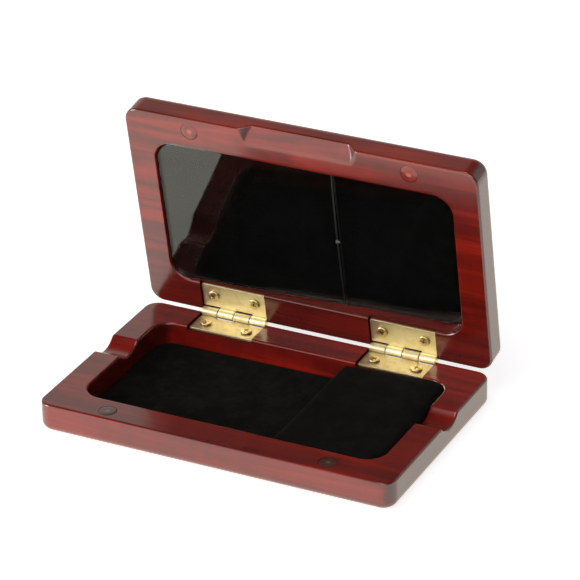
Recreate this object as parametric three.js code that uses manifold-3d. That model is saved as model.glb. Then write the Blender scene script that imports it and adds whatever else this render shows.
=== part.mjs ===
// A hinged wooden reed case: a pocketed base tray and a glass-fronted lid on two brass butt hinges.
// Millimetres, +Z up. The origin is the middle of the tray's underside, +X runs along the length,
// and +Y points to the hinges. Lid pieces are drawn as if the case were shut, then turned open together.
import * as THREE from "three";
import { mergeVertices } from "three/addons/utils/BufferGeometryUtils.js";
import Module from "manifold-3d";

const wasm = await Module();
wasm.setup();

// Case
const caseLength = 128;
const caseWidth = 79.6;
const trayHeight = 10.3;
const lidHeight = 9.9;
const shutGap = 0.2;
const openDegrees = 79.7;
const cornerRadius = 5;
const outsideEdgeRadius = 3;
const meetingEdgeRadius = 0.8;

// Pockets in the tray and the lid
const endRim = 10;
const longRim = 11.8;
const pocketCornerRadius = 7;
const pocketRimRadius = 0.8;
const trayFloor = 1.5;

// Gaps and overruns
const seatGap = 0.3;
const cutOverrun = 1;

// Tip rests: the shallow round notches across both short rims
const notchRadius = 8.5;
const notchDepth = 2.8;
const notchCrestRadius = 1;
const notchOffset = 5.5;

// Finger scoop on the front edge of the lid
const scoopLength = 43.4;
const scoopReach = 4.6;
const scoopDepth = 3.1;
const scoopHollow = 1.15;
const scoopRidge = 0.04;

// Velvet in the tray
const floorLiningThickness = 0.75;
const padFoot = 11;
const padRampRun = 6.5;
const padRampUnderRim = 0.8;
const padTopOverRim = 1.1;
const padEdgeDrop = 0.6;
const padEdgeBand = 4;
const padDrawIn = 0.4;
const padToe = 0.5;

// Glass plate in the lid, almost flush at its left end and deeper at its right, on a velvet-covered wedge
const glassDepth = 0.3;
const glassDrop = 5.6;
const glassThickness = 1.6;
const glassEdgeGap = 0.4;
const glassChamfer = 0.25;
const backingThinEnd = 0.5;

// Elastic round the glass
const cordDiameter = 0.7;
const cordOffset = 9.9;
const cordBow = 0.45;
const knotLength = 1.7;
const knotThickness = 1.1;
const knotOffset = 1;

// Butt hinges
const hingeSpread = 31.7;
const hingeLength = 24.2;
const knuckleCount = 4;
const knuckleRadius = 1.65;
const knuckleGap = 0.3;
const axisBehindBack = 0.27;
const pinRadius = 0.75;
const pinPlay = 0.3;
const leafReach = 11;
const leafThickness = 0.8;
const leafSink = 0.9;
const leafCornerRadius = 0.5;
const leafSlot = 0.6;

// Hinge screws
const screwEndInset = 4.4;
const screwInset = 6.4;
const screwHeadRadius = 1.95;
const screwHeadHeight = 0.6;
const screwHeadEdge = 0.2;
const screwSeatGap = 0.2;
const screwShankRadius = 0.8;
const screwLength = 5.2;
const screwPoint = 1.2;
const crossLength = 2.3;
const crossWidth = 0.5;
const crossDepth = 0.4;

// Magnets
const magnetRadius = 3.1;
const magnetThickness = 2;
const magnetOffset = 39.8;
const magnetInset = 4.9;

// Counts of faces on round shapes
const cornerFaces = 8;
const edgeFaces = 5;
const roundFaces = 20;
const screwFaces = 14;
const domeFaces = 3;
const padRows = 18;
const cordFaces = 8;

// Places that follow from the sizes above
const halfLength = caseLength / 2;
const halfWidth = caseWidth / 2;
const pocketHalfLength = halfLength - endRim;
const pocketHalfWidth = halfWidth - longRim;
const lidFace = trayHeight + shutGap;
const axisY = halfWidth + axisBehindBack;
const axisZ = trayHeight + shutGap / 2;
const glassFace = lidFace + glassDepth;
const glassBack = glassFace + glassThickness;
const glassLeftEnd = glassEdgeGap - pocketHalfLength;
const glassLean = Math.asin(glassDrop / (-2 * glassLeftEnd));
const backingFace = glassBack + seatGap;
const backingBack = backingFace + glassDrop + backingThinEnd;
const lidCeiling = backingBack + seatGap;
const screwSpread = hingeLength / 2 - screwEndInset;
const padBase = trayFloor + seatGap + floorLiningThickness + seatGap;
const recessRadius = knuckleRadius + leafSlot;
const mortiseDepth = leafSink + leafThickness + seatGap;
const magnetY = magnetInset - halfWidth;

// Materials
const wood = new THREE.MeshStandardMaterial({ color: 0x6a1410, roughness: 0.15, metalness: 0 });
const velvet = new THREE.MeshStandardMaterial({ color: 0x121310, roughness: 0.95, metalness: 0 });
const brass = new THREE.MeshStandardMaterial({ color: 0xd9be6a, roughness: 0.25, metalness: 1 });
const glass = new THREE.MeshStandardMaterial({ color: 0xe8efec, roughness: 0.03, metalness: 0 });
const elastic = new THREE.MeshStandardMaterial({ color: 0x1c1c1a, roughness: 0.8, metalness: 0 });
const magnet = new THREE.MeshStandardMaterial({ color: 0x2a201c, roughness: 0.2, metalness: 1 });

// Solids and meshes
function solid(geometry) {
  const bare = geometry.clone();
  bare.deleteAttribute("normal");
  bare.deleteAttribute("uv");
  const merged = mergeVertices(bare);
  const vertProperties = new Float32Array(merged.attributes.position.array);
  const triVerts = new Uint32Array(merged.index.array);
  return new wasm.Manifold(new wasm.Mesh({ numProp: 3, vertProperties, triVerts }));
}

function surface(body) {
  const mesh = body.getMesh();
  const geometry = new THREE.BufferGeometry();
  geometry.setAttribute("position", new THREE.BufferAttribute(mesh.vertProperties, 3));
  geometry.setIndex(new THREE.BufferAttribute(mesh.triVerts, 1));
  return geometry;
}

function named(name, geometry, material) {
  const mesh = new THREE.Mesh(geometry, material);
  mesh.name = name;
  return mesh;
}

// The outline of a rectangle with round corners, anticlockwise, drawn in from its full size by inset.
function roundedOutline(halfX, halfY, radius, inset) {
  const points = [];
  const x = halfX - radius;
  const y = halfY - radius;
  for (let corner = 0; corner < 4; corner++) {
    const signX = corner === 0 || corner === 3 ? 1 : -1;
    const signY = corner < 2 ? 1 : -1;
    for (let step = 0; step <= cornerFaces; step++) {
      const angle = (corner + step / cornerFaces) * (Math.PI / 2);
      const reach = radius - inset;
      points.push([signX * x + reach * Math.cos(angle), signY * y + reach * Math.sin(angle)]);
    }
  }
  return points;
}

// A closed body of round-cornered outlines stacked on one another: levels run upwards as {z, inset}.
function stackedBody(halfX, halfY, radius, levels) {
  const rings = levels.map(({ inset }) => roundedOutline(halfX, halfY, radius, inset));
  const count = rings[0].length;
  const vertices = [];
  rings.forEach((ring, level) => ring.forEach(([x, y]) => vertices.push(x, y, levels[level].z)));
  vertices.push(0, 0, levels[0].z);
  vertices.push(0, 0, levels[levels.length - 1].z);
  const bottomCentre = rings.length * count;
  const topCentre = bottomCentre + 1;
  const topRing = (rings.length - 1) * count;
  const faces = [];
  for (let i = 0; i < count; i++) {
    const next = (i + 1) % count;
    for (let level = 0; level < rings.length - 1; level++) {
      const low = level * count;
      const high = low + count;
      faces.push(low + i, low + next, high + next);
      faces.push(low + i, high + next, high + i);
    }
    faces.push(bottomCentre, next, i);
    faces.push(topCentre, topRing + i, topRing + next);
  }
  const geometry = new THREE.BufferGeometry();
  geometry.setAttribute("position", new THREE.Float32BufferAttribute(vertices, 3));
  geometry.setIndex(faces);
  return geometry;
}

// Levels of a quarter-round edge between a side wall and a flat face.
function roundEdge(z, radius, direction) {
  const levels = [];
  for (let step = 0; step <= edgeFaces; step++) {
    const angle = (step / edgeFaces) * (Math.PI / 2);
    levels.push({
      z: z - direction * radius * (1 - Math.sin(angle)),
      inset: radius * (1 - Math.cos(angle)),
    });
  }
  return levels;
}

function box(sizeX, sizeY, sizeZ, x, y, z) {
  return solid(new THREE.BoxGeometry(sizeX, sizeY, sizeZ).translate(x, y, z));
}

function barAlongX(radius, length, x) {
  const geometry = new THREE.CylinderGeometry(radius, radius, length, roundFaces);
  return solid(geometry.rotateZ(Math.PI / 2).translate(x, axisY, axisZ));
}

function uprightDisc(radius, low, high, x, y) {
  const geometry = new THREE.CylinderGeometry(radius, radius, high - low, roundFaces);
  return solid(geometry.rotateX(Math.PI / 2).translate(x, y, (low + high) / 2));
}

// Tray and lid in solid wood
// side is -1 for the tray, whose outside faces down, and +1 for the lid, whose outside faces up.
function woodShell(face, outside, pocketEnd, side) {
  const outsideEdge = roundEdge(outside, outsideEdgeRadius, side);
  const meetingEdge = roundEdge(face, meetingEdgeRadius, -side);
  const upwards = (levels) => [...levels].sort((a, b) => a.z - b.z);
  const body = solid(
    stackedBody(halfLength, halfWidth, cornerRadius, upwards([...outsideEdge, ...meetingEdge])),
  );
  const flare = roundEdge(face, pocketRimRadius, -side).map(({ z, inset }) => ({ z, inset: -inset }));
  const pocketLevels = upwards([
    { z: pocketEnd, inset: 0 },
    ...flare,
    { z: face - side * cutOverrun, inset: -pocketRimRadius },
  ]);
  return body.subtract(
    solid(stackedBody(pocketHalfLength, pocketHalfWidth, pocketCornerRadius, pocketLevels)),
  );
}

// The notch's cross-section, with crests rounded over into the rim.
function notchCut(signX) {
  const centreZ = notchRadius - notchDepth;
  const crestY = Math.sqrt(
    (notchRadius + notchCrestRadius) ** 2 - (centreZ + notchCrestRadius) ** 2,
  );
  const turn = Math.atan2(crestY, centreZ + notchCrestRadius);
  const shape = new THREE.Shape();
  shape.moveTo(crestY, cutOverrun);
  shape.lineTo(-crestY, cutOverrun);
  shape.absarc(-crestY, -notchCrestRadius, notchCrestRadius, Math.PI / 2, Math.PI / 2 - turn, true);
  shape.absarc(0, centreZ, notchRadius, -Math.PI / 2 - turn, -Math.PI / 2 + turn, false);
  shape.absarc(crestY, -notchCrestRadius, notchCrestRadius, Math.PI / 2 + turn, Math.PI / 2, true);
  const geometry = new THREE.ExtrudeGeometry(shape, {
    depth: endRim + cutOverrun + pocketRimRadius,
    bevelEnabled: false,
    curveSegments: cornerFaces,
  });
  geometry.rotateX(Math.PI / 2).rotateZ(Math.PI / 2);
  const start = signX > 0 ? pocketHalfLength - pocketRimRadius : -halfLength - cutOverrun;
  return solid(geometry.translate(start, notchOffset, trayHeight));
}

function scoopCut() {
  const halfX = scoopLength / 2;
  const levels = [{ z: lidFace - cutOverrun, inset: 0 }];
  for (let step = 0; step <= edgeFaces; step++) {
    const inset = (scoopReach - scoopRidge) * (step / edgeFaces);
    levels.push({ z: lidFace + scoopDepth * (step / edgeFaces) ** scoopHollow, inset });
  }
  return solid(stackedBody(halfX, scoopReach, scoopReach, levels).translate(0, -halfWidth, 0));
}

function hingeCuts(side) {
  const cuts = [];
  const face = side < 0 ? trayHeight : lidFace;
  const length = hingeLength + seatGap * 2;
  const back = halfWidth + cutOverrun;
  const front = pocketHalfWidth - cutOverrun;
  const depth = mortiseDepth + cutOverrun;
  const middleZ = face + (side * (mortiseDepth - cutOverrun)) / 2;
  for (const centre of [-hingeSpread, hingeSpread]) {
    cuts.push(box(length, back - front, depth, centre, (back + front) / 2, middleZ));
    cuts.push(barAlongX(recessRadius, length, centre));
    for (const screw of [-screwSpread, screwSpread]) {
      const reach = face + side * (leafSink + screwLength + seatGap);
      const low = Math.min(face, reach);
      const high = Math.max(face, reach);
      const radius = screwShankRadius + seatGap;
      cuts.push(uprightDisc(radius, low, high, centre + screw, halfWidth - screwInset));
    }
  }
  return cuts;
}

function magnetCuts(side) {
  const face = side < 0 ? trayHeight : lidFace;
  const depth = face + side * (magnetThickness + seatGap);
  const mouth = face - side * cutOverrun;
  const low = Math.min(depth, mouth);
  const high = Math.max(depth, mouth);
  return [-magnetOffset, magnetOffset].map((x) =>
    uprightDisc(magnetRadius + seatGap, low, high, x, magnetY),
  );
}

function cutAll(body, cuts) {
  return surface(cuts.reduce((left, cut) => left.subtract(cut), body));
}

function baseTray() {
  const body = woodShell(trayHeight, 0, trayFloor, -1);
  return cutAll(body, [...hingeCuts(-1), ...magnetCuts(-1), notchCut(-1), notchCut(1)]);
}

function lidShell() {
  const body = woodShell(lidFace, lidFace + lidHeight, lidCeiling, 1);
  return cutAll(body, [...hingeCuts(1), ...magnetCuts(1), scoopCut()]);
}

// Velvet floor of the tray
function pocketPlate(low, high, clearance) {
  const halfX = pocketHalfLength - clearance;
  const halfY = pocketHalfWidth - clearance;
  const levels = [
    { z: low, inset: 0 },
    { z: high, inset: 0 },
  ];
  return stackedBody(halfX, halfY, pocketCornerRadius - clearance, levels);
}

// Velvet pad: a ramp at its left end, a crown that rises to the right, and sides drawn in at mid length.
function padColumns(length, cornerReach) {
  const columns = [0, padToe];
  for (let step = 1; step <= edgeFaces; step++) {
    columns.push(padToe + ((padRampRun - padToe) * step) / edgeFaces);
  }
  const flatEnd = length - cornerReach;
  for (let step = 1; step < cornerFaces; step++) {
    columns.push(padRampRun + ((flatEnd - padRampRun) * step) / cornerFaces);
  }
  for (let step = 0; step <= cornerFaces; step++) {
    columns.push(flatEnd + cornerReach * Math.sin((step / cornerFaces) * (Math.PI / 2)));
  }
  return columns;
}

function raisedPad() {
  const length = pocketHalfLength - seatGap - padFoot;
  const cornerReach = pocketCornerRadius - seatGap;
  const rampHeight = trayHeight - padRampUnderRim - padBase;
  const fullHeight = trayHeight + padTopOverRim - padBase;
  const halfReach = (along) => {
    const intoCorner = Math.max(0, along - (length - cornerReach));
    const cut = cornerReach - Math.sqrt(Math.max(0, cornerReach ** 2 - intoCorner ** 2));
    return pocketHalfWidth - seatGap - cut - padDrawIn * Math.sin((Math.PI * along) / length);
  };
  const fall = (distance) => padEdgeDrop * (1 - Math.min(1, distance / padEdgeBand)) ** 2;
  const heightAt = (along, toSide) => {
    const ramp = Math.min(1, along / padRampRun);
    const eased = ramp * ramp * (3 - 2 * ramp);
    const onTop = Math.max(0, along - padRampRun) / (length - padRampRun);
    const crown = rampHeight + (fullHeight - rampHeight) * onTop;
    const edge = Math.min(padEdgeDrop, fall(toSide) + fall(length - along));
    return padBase + Math.max(padToe, (crown - edge) * eased);
  };
  const columns = padColumns(length, cornerReach);
  const rows = [];
  for (let step = 0; step <= padRows; step++) {
    rows.push(-Math.cos((step / padRows) * Math.PI));
  }
  const top = [];
  const bottom = [];
  for (const along of columns) {
    const half = halfReach(along);
    for (const row of rows) {
      top.push(padFoot + along, row * half, heightAt(along, half * (1 - Math.abs(row))));
      bottom.push(padFoot + along, row * half, padBase);
    }
  }
  const under = top.length / 3;
  const across = rows.length;
  const last = (columns.length - 1) * across;
  const faces = [];
  const quad = (a, b, c, d) => faces.push(a, b, c, a, c, d);
  for (let i = 0; i < last; i += across) {
    for (let near = i; near < i + across - 1; near++) {
      const far = near + across;
      quad(near, far, far + 1, near + 1);
      quad(under + near, under + near + 1, under + far + 1, under + far);
    }
    const end = i + across - 1;
    quad(i, under + i, under + i + across, i + across);
    quad(end, end + across, under + end + across, under + end);
  }
  for (let j = 0; j < across - 1; j++) {
    quad(j, j + 1, under + j + 1, under + j);
    quad(last + j, under + last + j, under + last + j + 1, last + j + 1);
  }
  const geometry = new THREE.BufferGeometry();
  geometry.setAttribute("position", new THREE.Float32BufferAttribute([...top, ...bottom], 3));
  geometry.setIndex(faces);
  return geometry;
}

// The plate, and what lies against it, are drawn level and then leaned about the plate's left end.
function leaned(geometry) {
  geometry.translate(-glassLeftEnd, 0, -glassFace).rotateY(-glassLean);
  return geometry.translate(glassLeftEnd, 0, glassFace);
}

function leanedBox(sizeX, sizeY, sizeZ, x, y, z) {
  return solid(leaned(new THREE.BoxGeometry(sizeX, sizeY, sizeZ).translate(x, y, z)));
}

// Elastic round the glass, and the velvet backing and glass edges that it presses into
const cordRadius = cordDiameter / 2;
const cordStandOff = cordRadius + seatGap;
const cordTurn = pocketHalfWidth - cordStandOff;
const cordFront = glassFace - cordStandOff;
const cordBack = glassBack + cordStandOff;

class CordRoute extends THREE.Curve {
  constructor(stations) {
    super();
    this.stations = stations;
  }
  getPointAt(share, target = new THREE.Vector3()) {
    return target.copy(this.stations[Math.round(share * (this.stations.length - 1))]);
  }
  getPoint(share, target) {
    return this.getPointAt(share, target);
  }
  getTangentAt(share, target = new THREE.Vector3()) {
    const last = this.stations.length - 1;
    const here = Math.round(share * last);
    const before = this.stations[Math.max(0, here - 1)];
    const after = this.stations[Math.min(last, here + 1)];
    return target.copy(after).sub(before).normalize();
  }
}

function cordX(y) {
  return cordOffset - cordBow * (1 - (y / cordTurn) ** 2);
}

function cordStations() {
  const stations = [];
  const turnRadius = cordStandOff;
  const straightEnd = cordTurn - turnRadius;
  const startY = knotOffset + knotLength / 2 + seatGap;
  const endY = knotOffset - knotLength / 2 - seatGap;
  const run = (fromY, toY, z, bowed) => {
    for (let step = 0; step <= cordFaces; step++) {
      const y = fromY + ((toY - fromY) * step) / cordFaces;
      stations.push(new THREE.Vector3(bowed ? cordX(y) : cordX(straightEnd), y, z));
    }
  };
  const bend = (centreY, centreZ, fromTurn) => {
    for (let step = 1; step < edgeFaces; step++) {
      const angle = (fromTurn + step / edgeFaces) * (Math.PI / 2);
      const y = centreY + turnRadius * Math.cos(angle);
      const z = centreZ + turnRadius * Math.sin(angle);
      stations.push(new THREE.Vector3(cordX(straightEnd), y, z));
    }
  };
  run(startY, straightEnd, cordFront, true);
  bend(straightEnd, cordFront + turnRadius, -1);
  stations.push(new THREE.Vector3(cordX(straightEnd), cordTurn, cordFront + turnRadius));
  bend(straightEnd, cordBack - turnRadius, 0);
  run(straightEnd, -straightEnd, cordBack, false);
  bend(-straightEnd, cordBack - turnRadius, 1);
  stations.push(new THREE.Vector3(cordX(straightEnd), -cordTurn, cordFront + turnRadius));
  bend(-straightEnd, cordFront + turnRadius, 2);
  run(-straightEnd, endY, cordFront, true);
  return stations;
}

function elasticCord() {
  const section = new THREE.Shape();
  section.absarc(0, 0, cordRadius, 0, Math.PI * 2, false);
  const stations = cordStations();
  const tube = new THREE.ExtrudeGeometry(section, {
    steps: stations.length - 1,
    extrudePath: new CordRoute(stations),
    curveSegments: cordFaces / 2,
    bevelEnabled: false,
  });
  return leaned(tube);
}

function cordKnot() {
  const geometry = new THREE.SphereGeometry(1, screwFaces, cornerFaces);
  geometry.scale(knotThickness / 2, knotLength / 2, knotThickness / 2);
  const standOff = knotThickness / 2 + seatGap;
  return leaned(geometry.translate(cordX(knotOffset), knotOffset, glassFace - standOff));
}

function glassPlate() {
  const halfX = pocketHalfLength - glassEdgeGap;
  const halfY = pocketHalfWidth - glassEdgeGap;
  const levels = [
    { z: glassFace, inset: glassChamfer },
    { z: glassFace + glassChamfer, inset: 0 },
    { z: glassBack - glassChamfer, inset: 0 },
    { z: glassBack, inset: glassChamfer },
  ];
  const plate = solid(stackedBody(halfX, halfY, pocketCornerRadius - glassEdgeGap, levels));
  const nickFloor = cordTurn - cordStandOff;
  const nickDepth = halfY + cutOverrun - nickFloor;
  const nickHeight = glassThickness + cutOverrun * 2;
  const middleZ = (glassFace + glassBack) / 2;
  const nicks = [-1, 1].map((end) =>
    box(cordStandOff * 2, nickDepth, nickHeight, cordX(cordTurn), end * (nickFloor + nickDepth / 2), middleZ),
  );
  return leaned(cutAll(plate, nicks));
}

function lidBacking() {
  const block = solid(pocketPlate(glassBack, backingBack, seatGap));
  const room = glassDrop + seatGap + cutOverrun;
  const overGlass = leanedBox(caseLength, caseWidth, room, 0, 0, backingFace - room / 2);
  const channelFloor = cordBack + cordStandOff;
  const depth = channelFloor - backingFace + cutOverrun;
  const middleZ = channelFloor - depth / 2;
  const channel = leanedBox(cordStandOff * 2, caseWidth, depth, cordX(cordTurn), 0, middleZ);
  return cutAll(block, [overGlass, channel]);
}

// Butt hinge: side is -1 for the leaf let into the tray and +1 for the leaf let into the lid.
function knuckleSpan(index) {
  const length = (hingeLength - knuckleGap * (knuckleCount - 1)) / knuckleCount;
  const start = -hingeLength / 2 + index * (length + knuckleGap);
  return { length, middle: start + length / 2 };
}

function leafOutline(side) {
  const top = (side < 0 ? trayHeight : lidFace) + side * leafSink;
  const bottom = top + side * leafThickness;
  const front = axisY - leafReach;
  const shape = new THREE.Shape();
  const halfX = hingeLength / 2;
  const radius = leafCornerRadius;
  shape.moveTo(-halfX, axisY);
  shape.lineTo(-halfX, front + radius);
  shape.absarc(-halfX + radius, front + radius, radius, Math.PI, Math.PI * 1.5, false);
  shape.lineTo(halfX - radius, front);
  shape.absarc(halfX - radius, front + radius, radius, -Math.PI / 2, 0, false);
  shape.lineTo(halfX, axisY);
  shape.closePath();
  const settings = { depth: leafThickness, bevelEnabled: false, curveSegments: edgeFaces };
  return solid(new THREE.ExtrudeGeometry(shape, settings).translate(0, 0, Math.min(top, bottom)));
}

function hingeLeaf(side) {
  let leaf = leafOutline(side);
  const face = side < 0 ? trayHeight : lidFace;
  for (let index = 0; index < knuckleCount; index++) {
    const { length, middle } = knuckleSpan(index);
    const own = index % 2 === (side < 0 ? 0 : 1);
    if (own) leaf = leaf.add(barAlongX(knuckleRadius, length, middle));
    else leaf = leaf.subtract(barAlongX(recessRadius, length + knuckleGap * 2, middle));
  }
  leaf = leaf.subtract(barAlongX(pinRadius + pinPlay, hingeLength + cutOverrun, 0));
  for (const screw of [-screwSpread, screwSpread]) {
    const low = face - cutOverrun - mortiseDepth;
    const high = face + cutOverrun + mortiseDepth;
    const radius = screwShankRadius + seatGap;
    leaf = leaf.subtract(uprightDisc(radius, low, high, screw, halfWidth - screwInset));
  }
  return surface(leaf);
}

function hingePin() {
  const geometry = new THREE.CylinderGeometry(pinRadius, pinRadius, hingeLength, roundFaces);
  return geometry.rotateZ(Math.PI / 2).translate(0, axisY, axisZ);
}

// Raised-head screw, drawn point down with its seat at the origin; the cross is cut into its head.
function hingeScrew() {
  const profile = [new THREE.Vector2(0, -screwLength)];
  profile.push(new THREE.Vector2(screwShankRadius, -screwLength + screwPoint));
  profile.push(new THREE.Vector2(screwShankRadius, screwSeatGap));
  profile.push(new THREE.Vector2(screwHeadRadius, screwSeatGap));
  const domeHeight = screwHeadHeight - screwHeadEdge;
  for (let step = 0; step <= domeFaces; step++) {
    const angle = (step / domeFaces) * (Math.PI / 2);
    const radius = step === domeFaces ? 0 : screwHeadRadius * Math.cos(angle);
    const height = screwSeatGap + screwHeadEdge + domeHeight * Math.sin(angle);
    profile.push(new THREE.Vector2(radius, height));
  }
  const turned = new THREE.LatheGeometry(profile, screwFaces).rotateX(Math.PI / 2);
  const top = screwSeatGap + screwHeadHeight;
  const depth = crossDepth + cutOverrun;
  const middleZ = top - crossDepth + depth / 2;
  const cross = [
    box(crossLength, crossWidth, depth, 0, 0, middleZ),
    box(crossWidth, crossLength, depth, 0, 0, middleZ),
  ];
  return cutAll(solid(turned), cross);
}

function placeScrews(group, prefix, side) {
  const face = (side < 0 ? trayHeight : lidFace) + side * leafSink;
  [-screwSpread, screwSpread].forEach((offset, index) => {
    const screw = named(`${prefix}_screw_${index + 1}`, hingeScrew(), brass);
    screw.position.set(offset, halfWidth - screwInset, face);
    if (side > 0) screw.rotation.x = Math.PI;
    group.add(screw);
  });
}

function placeMagnets(group, prefix, side) {
  const face = side < 0 ? trayHeight : lidFace;
  for (const [name, x] of [["left", -magnetOffset], ["right", magnetOffset]]) {
    const geometry = new THREE.CylinderGeometry(magnetRadius, magnetRadius, magnetThickness, roundFaces);
    const disc = named(`${prefix}_magnet_${name}`, geometry, magnet);
    disc.rotation.x = Math.PI / 2;
    disc.position.set(x, magnetY, face + (side * magnetThickness) / 2);
    group.add(disc);
  }
}

// Assembly
const reedCase = new THREE.Group();
const lid = new THREE.Group();
const hingeTurn = new THREE.Group();
hingeTurn.position.set(0, axisY, axisZ);
hingeTurn.rotation.x = -THREE.MathUtils.degToRad(openDegrees);
lid.position.set(0, -axisY, -axisZ);
hingeTurn.add(lid);
reedCase.add(hingeTurn);

reedCase.add(named("base_tray", baseTray(), wood));
const floorTop = trayFloor + seatGap + floorLiningThickness;
reedCase.add(named("base_floor_lining", pocketPlate(trayFloor + seatGap, floorTop, seatGap), velvet));
reedCase.add(named("base_raised_pad", raisedPad(), velvet));
placeMagnets(reedCase, "base", -1);

lid.add(named("lid_shell", lidShell(), wood));
lid.add(named("lid_backing_lining", lidBacking(), velvet));
lid.add(named("glass_plate", glassPlate(), glass));
lid.add(named("elastic_cord", elasticCord(), elastic));
lid.add(named("cord_knot", cordKnot(), elastic));
placeMagnets(lid, "lid", 1);

for (const [name, centre] of [["left", -hingeSpread], ["right", hingeSpread]]) {
  const onBase = new THREE.Group();
  const onLid = new THREE.Group();
  onBase.position.x = centre;
  onLid.position.x = centre;
  onBase.add(named(`hinge_${name}_base_leaf`, hingeLeaf(-1), brass));
  onBase.add(named(`hinge_${name}_pin`, hingePin(), brass));
  onLid.add(named(`hinge_${name}_lid_leaf`, hingeLeaf(1), brass));
  placeScrews(onBase, `hinge_${name}_base`, -1);
  placeScrews(onLid, `hinge_${name}_lid`, 1);
  reedCase.add(onBase);
  lid.add(onLid);
}

export default reedCase;
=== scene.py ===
from math import asin, cos, exp, hypot, pi, radians, sin, sqrt, tau

import bmesh
import bpy
from mathutils import Matrix, Vector, noise


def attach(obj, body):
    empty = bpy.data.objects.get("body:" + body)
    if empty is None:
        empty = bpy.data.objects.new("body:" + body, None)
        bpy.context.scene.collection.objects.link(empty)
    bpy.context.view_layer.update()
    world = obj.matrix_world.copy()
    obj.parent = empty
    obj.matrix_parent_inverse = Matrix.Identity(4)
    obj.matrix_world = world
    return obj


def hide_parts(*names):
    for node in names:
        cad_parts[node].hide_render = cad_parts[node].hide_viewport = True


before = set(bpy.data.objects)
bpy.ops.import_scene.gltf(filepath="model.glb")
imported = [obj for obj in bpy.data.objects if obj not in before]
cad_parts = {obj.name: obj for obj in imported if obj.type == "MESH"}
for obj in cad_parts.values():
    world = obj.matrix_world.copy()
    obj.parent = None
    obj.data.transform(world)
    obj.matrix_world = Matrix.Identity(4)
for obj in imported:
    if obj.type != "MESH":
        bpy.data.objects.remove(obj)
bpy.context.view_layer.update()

# Tray. The lower half of the case, routed out of one block of cherry, stained dark red, and
# lacquered and rubbed to a high gloss. A round tip rest is let into each of its short rims.
MM = 0.001
HALF_LENGTH = 64.0
HALF_WIDTH = 39.8
CORNER_RADIUS = 5.0
OUTSIDE_EDGE = 3.0
MEETING_EDGE = 0.8
POCKET_HALF_LENGTH = 54.0
POCKET_HALF_WIDTH = 28.0
POCKET_CORNER = 7.0
POCKET_EDGE = 0.8
TRAY_HEIGHT = 10.3
TRAY_POCKET_DEPTH = 8.8
REST_RADIUS = 8.5
REST_DEPTH = 2.8
REST_CREST = 1.0
REST_MIDDLE = 5.5
SHARED_LONG_SIDE = 44.0
SHARED_SHORT_SIDE = 19.0
SCOOP_HALF_LENGTH = 21.7
SCOOP_REACH = 5.7
OUTER_BAND = 4.8
FINE_STEP = 0.35
PLAIN_STEP = 1.1
FAN_STEPS = 6
CORNER_STEPS = 14
EDGE_STEPS = 8
OUTSIDE_STEPS = 12
WALL_STEPS = 4
FACE_STEPS = 9
BAND_STEPS = 12


def quarter(steps, first=0):
    """(sine, cosine) at even steps through a quarter turn."""
    angles = [step / steps * pi / 2 for step in range(first, steps + 1)]
    return [(sin(angle), cos(angle)) for angle in angles]


def marks_along(shared, outer_end, inner_end, fine_reach):
    """Places along one side of the rim as (outer, pocket) pairs, closest where a hollow crosses it."""
    marks = [-shared]
    while marks[-1] < shared:
        step = FINE_STEP if abs(marks[-1] + FINE_STEP) < fine_reach else PLAIN_STEP
        marks.append(min(shared, marks[-1] + step))
    beyond = []
    for step in range(1, FAN_STEPS):
        share = step / FAN_STEPS
        beyond.append((shared + (outer_end - shared) * share, shared + (inner_end - shared) * share))
    before = [(-outer, -inner) for outer, inner in reversed(beyond)]
    return before + [(mark, mark) for mark in marks] + beyond


def rim_stations():
    """Stations round the rim: the way out, and the points that its outer and pocket edges turn about."""
    outer_x, outer_y = HALF_LENGTH - CORNER_RADIUS, HALF_WIDTH - CORNER_RADIUS
    inner_x, inner_y = POCKET_HALF_LENGTH - POCKET_CORNER, POCKET_HALF_WIDTH - POCKET_CORNER
    rest_reach = REST_MIDDLE + REST_RADIUS
    short_marks = marks_along(SHARED_SHORT_SIDE, outer_y, inner_y, rest_reach)
    long_marks = marks_along(SHARED_LONG_SIDE, outer_x, inner_x, SCOOP_HALF_LENGTH + 1)
    stations = []
    for turn, (c, s) in enumerate([(1, 0), (0, 1), (-1, 0), (0, -1)]):
        short = turn % 2 == 0
        outer_far, inner_far = (outer_x, inner_x) if short else (outer_y, inner_y)
        for outer, inner in short_marks if short else long_marks:
            outer_spot = (c * outer_far - s * outer, s * outer_far + c * outer)
            inner_spot = (c * inner_far - s * inner, s * inner_far + c * inner)
            stations.append(((c, s), outer_spot, inner_spot))
        side_x = 1 if turn in (0, 3) else -1
        side_y = 1 if turn < 2 else -1
        for step in range(CORNER_STEPS + 1):
            angle = (turn + step / CORNER_STEPS) * pi / 2
            outer_spot = (side_x * outer_x, side_y * outer_y)
            inner_spot = (side_x * inner_x, side_y * inner_y)
            stations.append(((cos(angle), sin(angle)), outer_spot, inner_spot))
    return stations


STATIONS = rim_stations()


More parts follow.
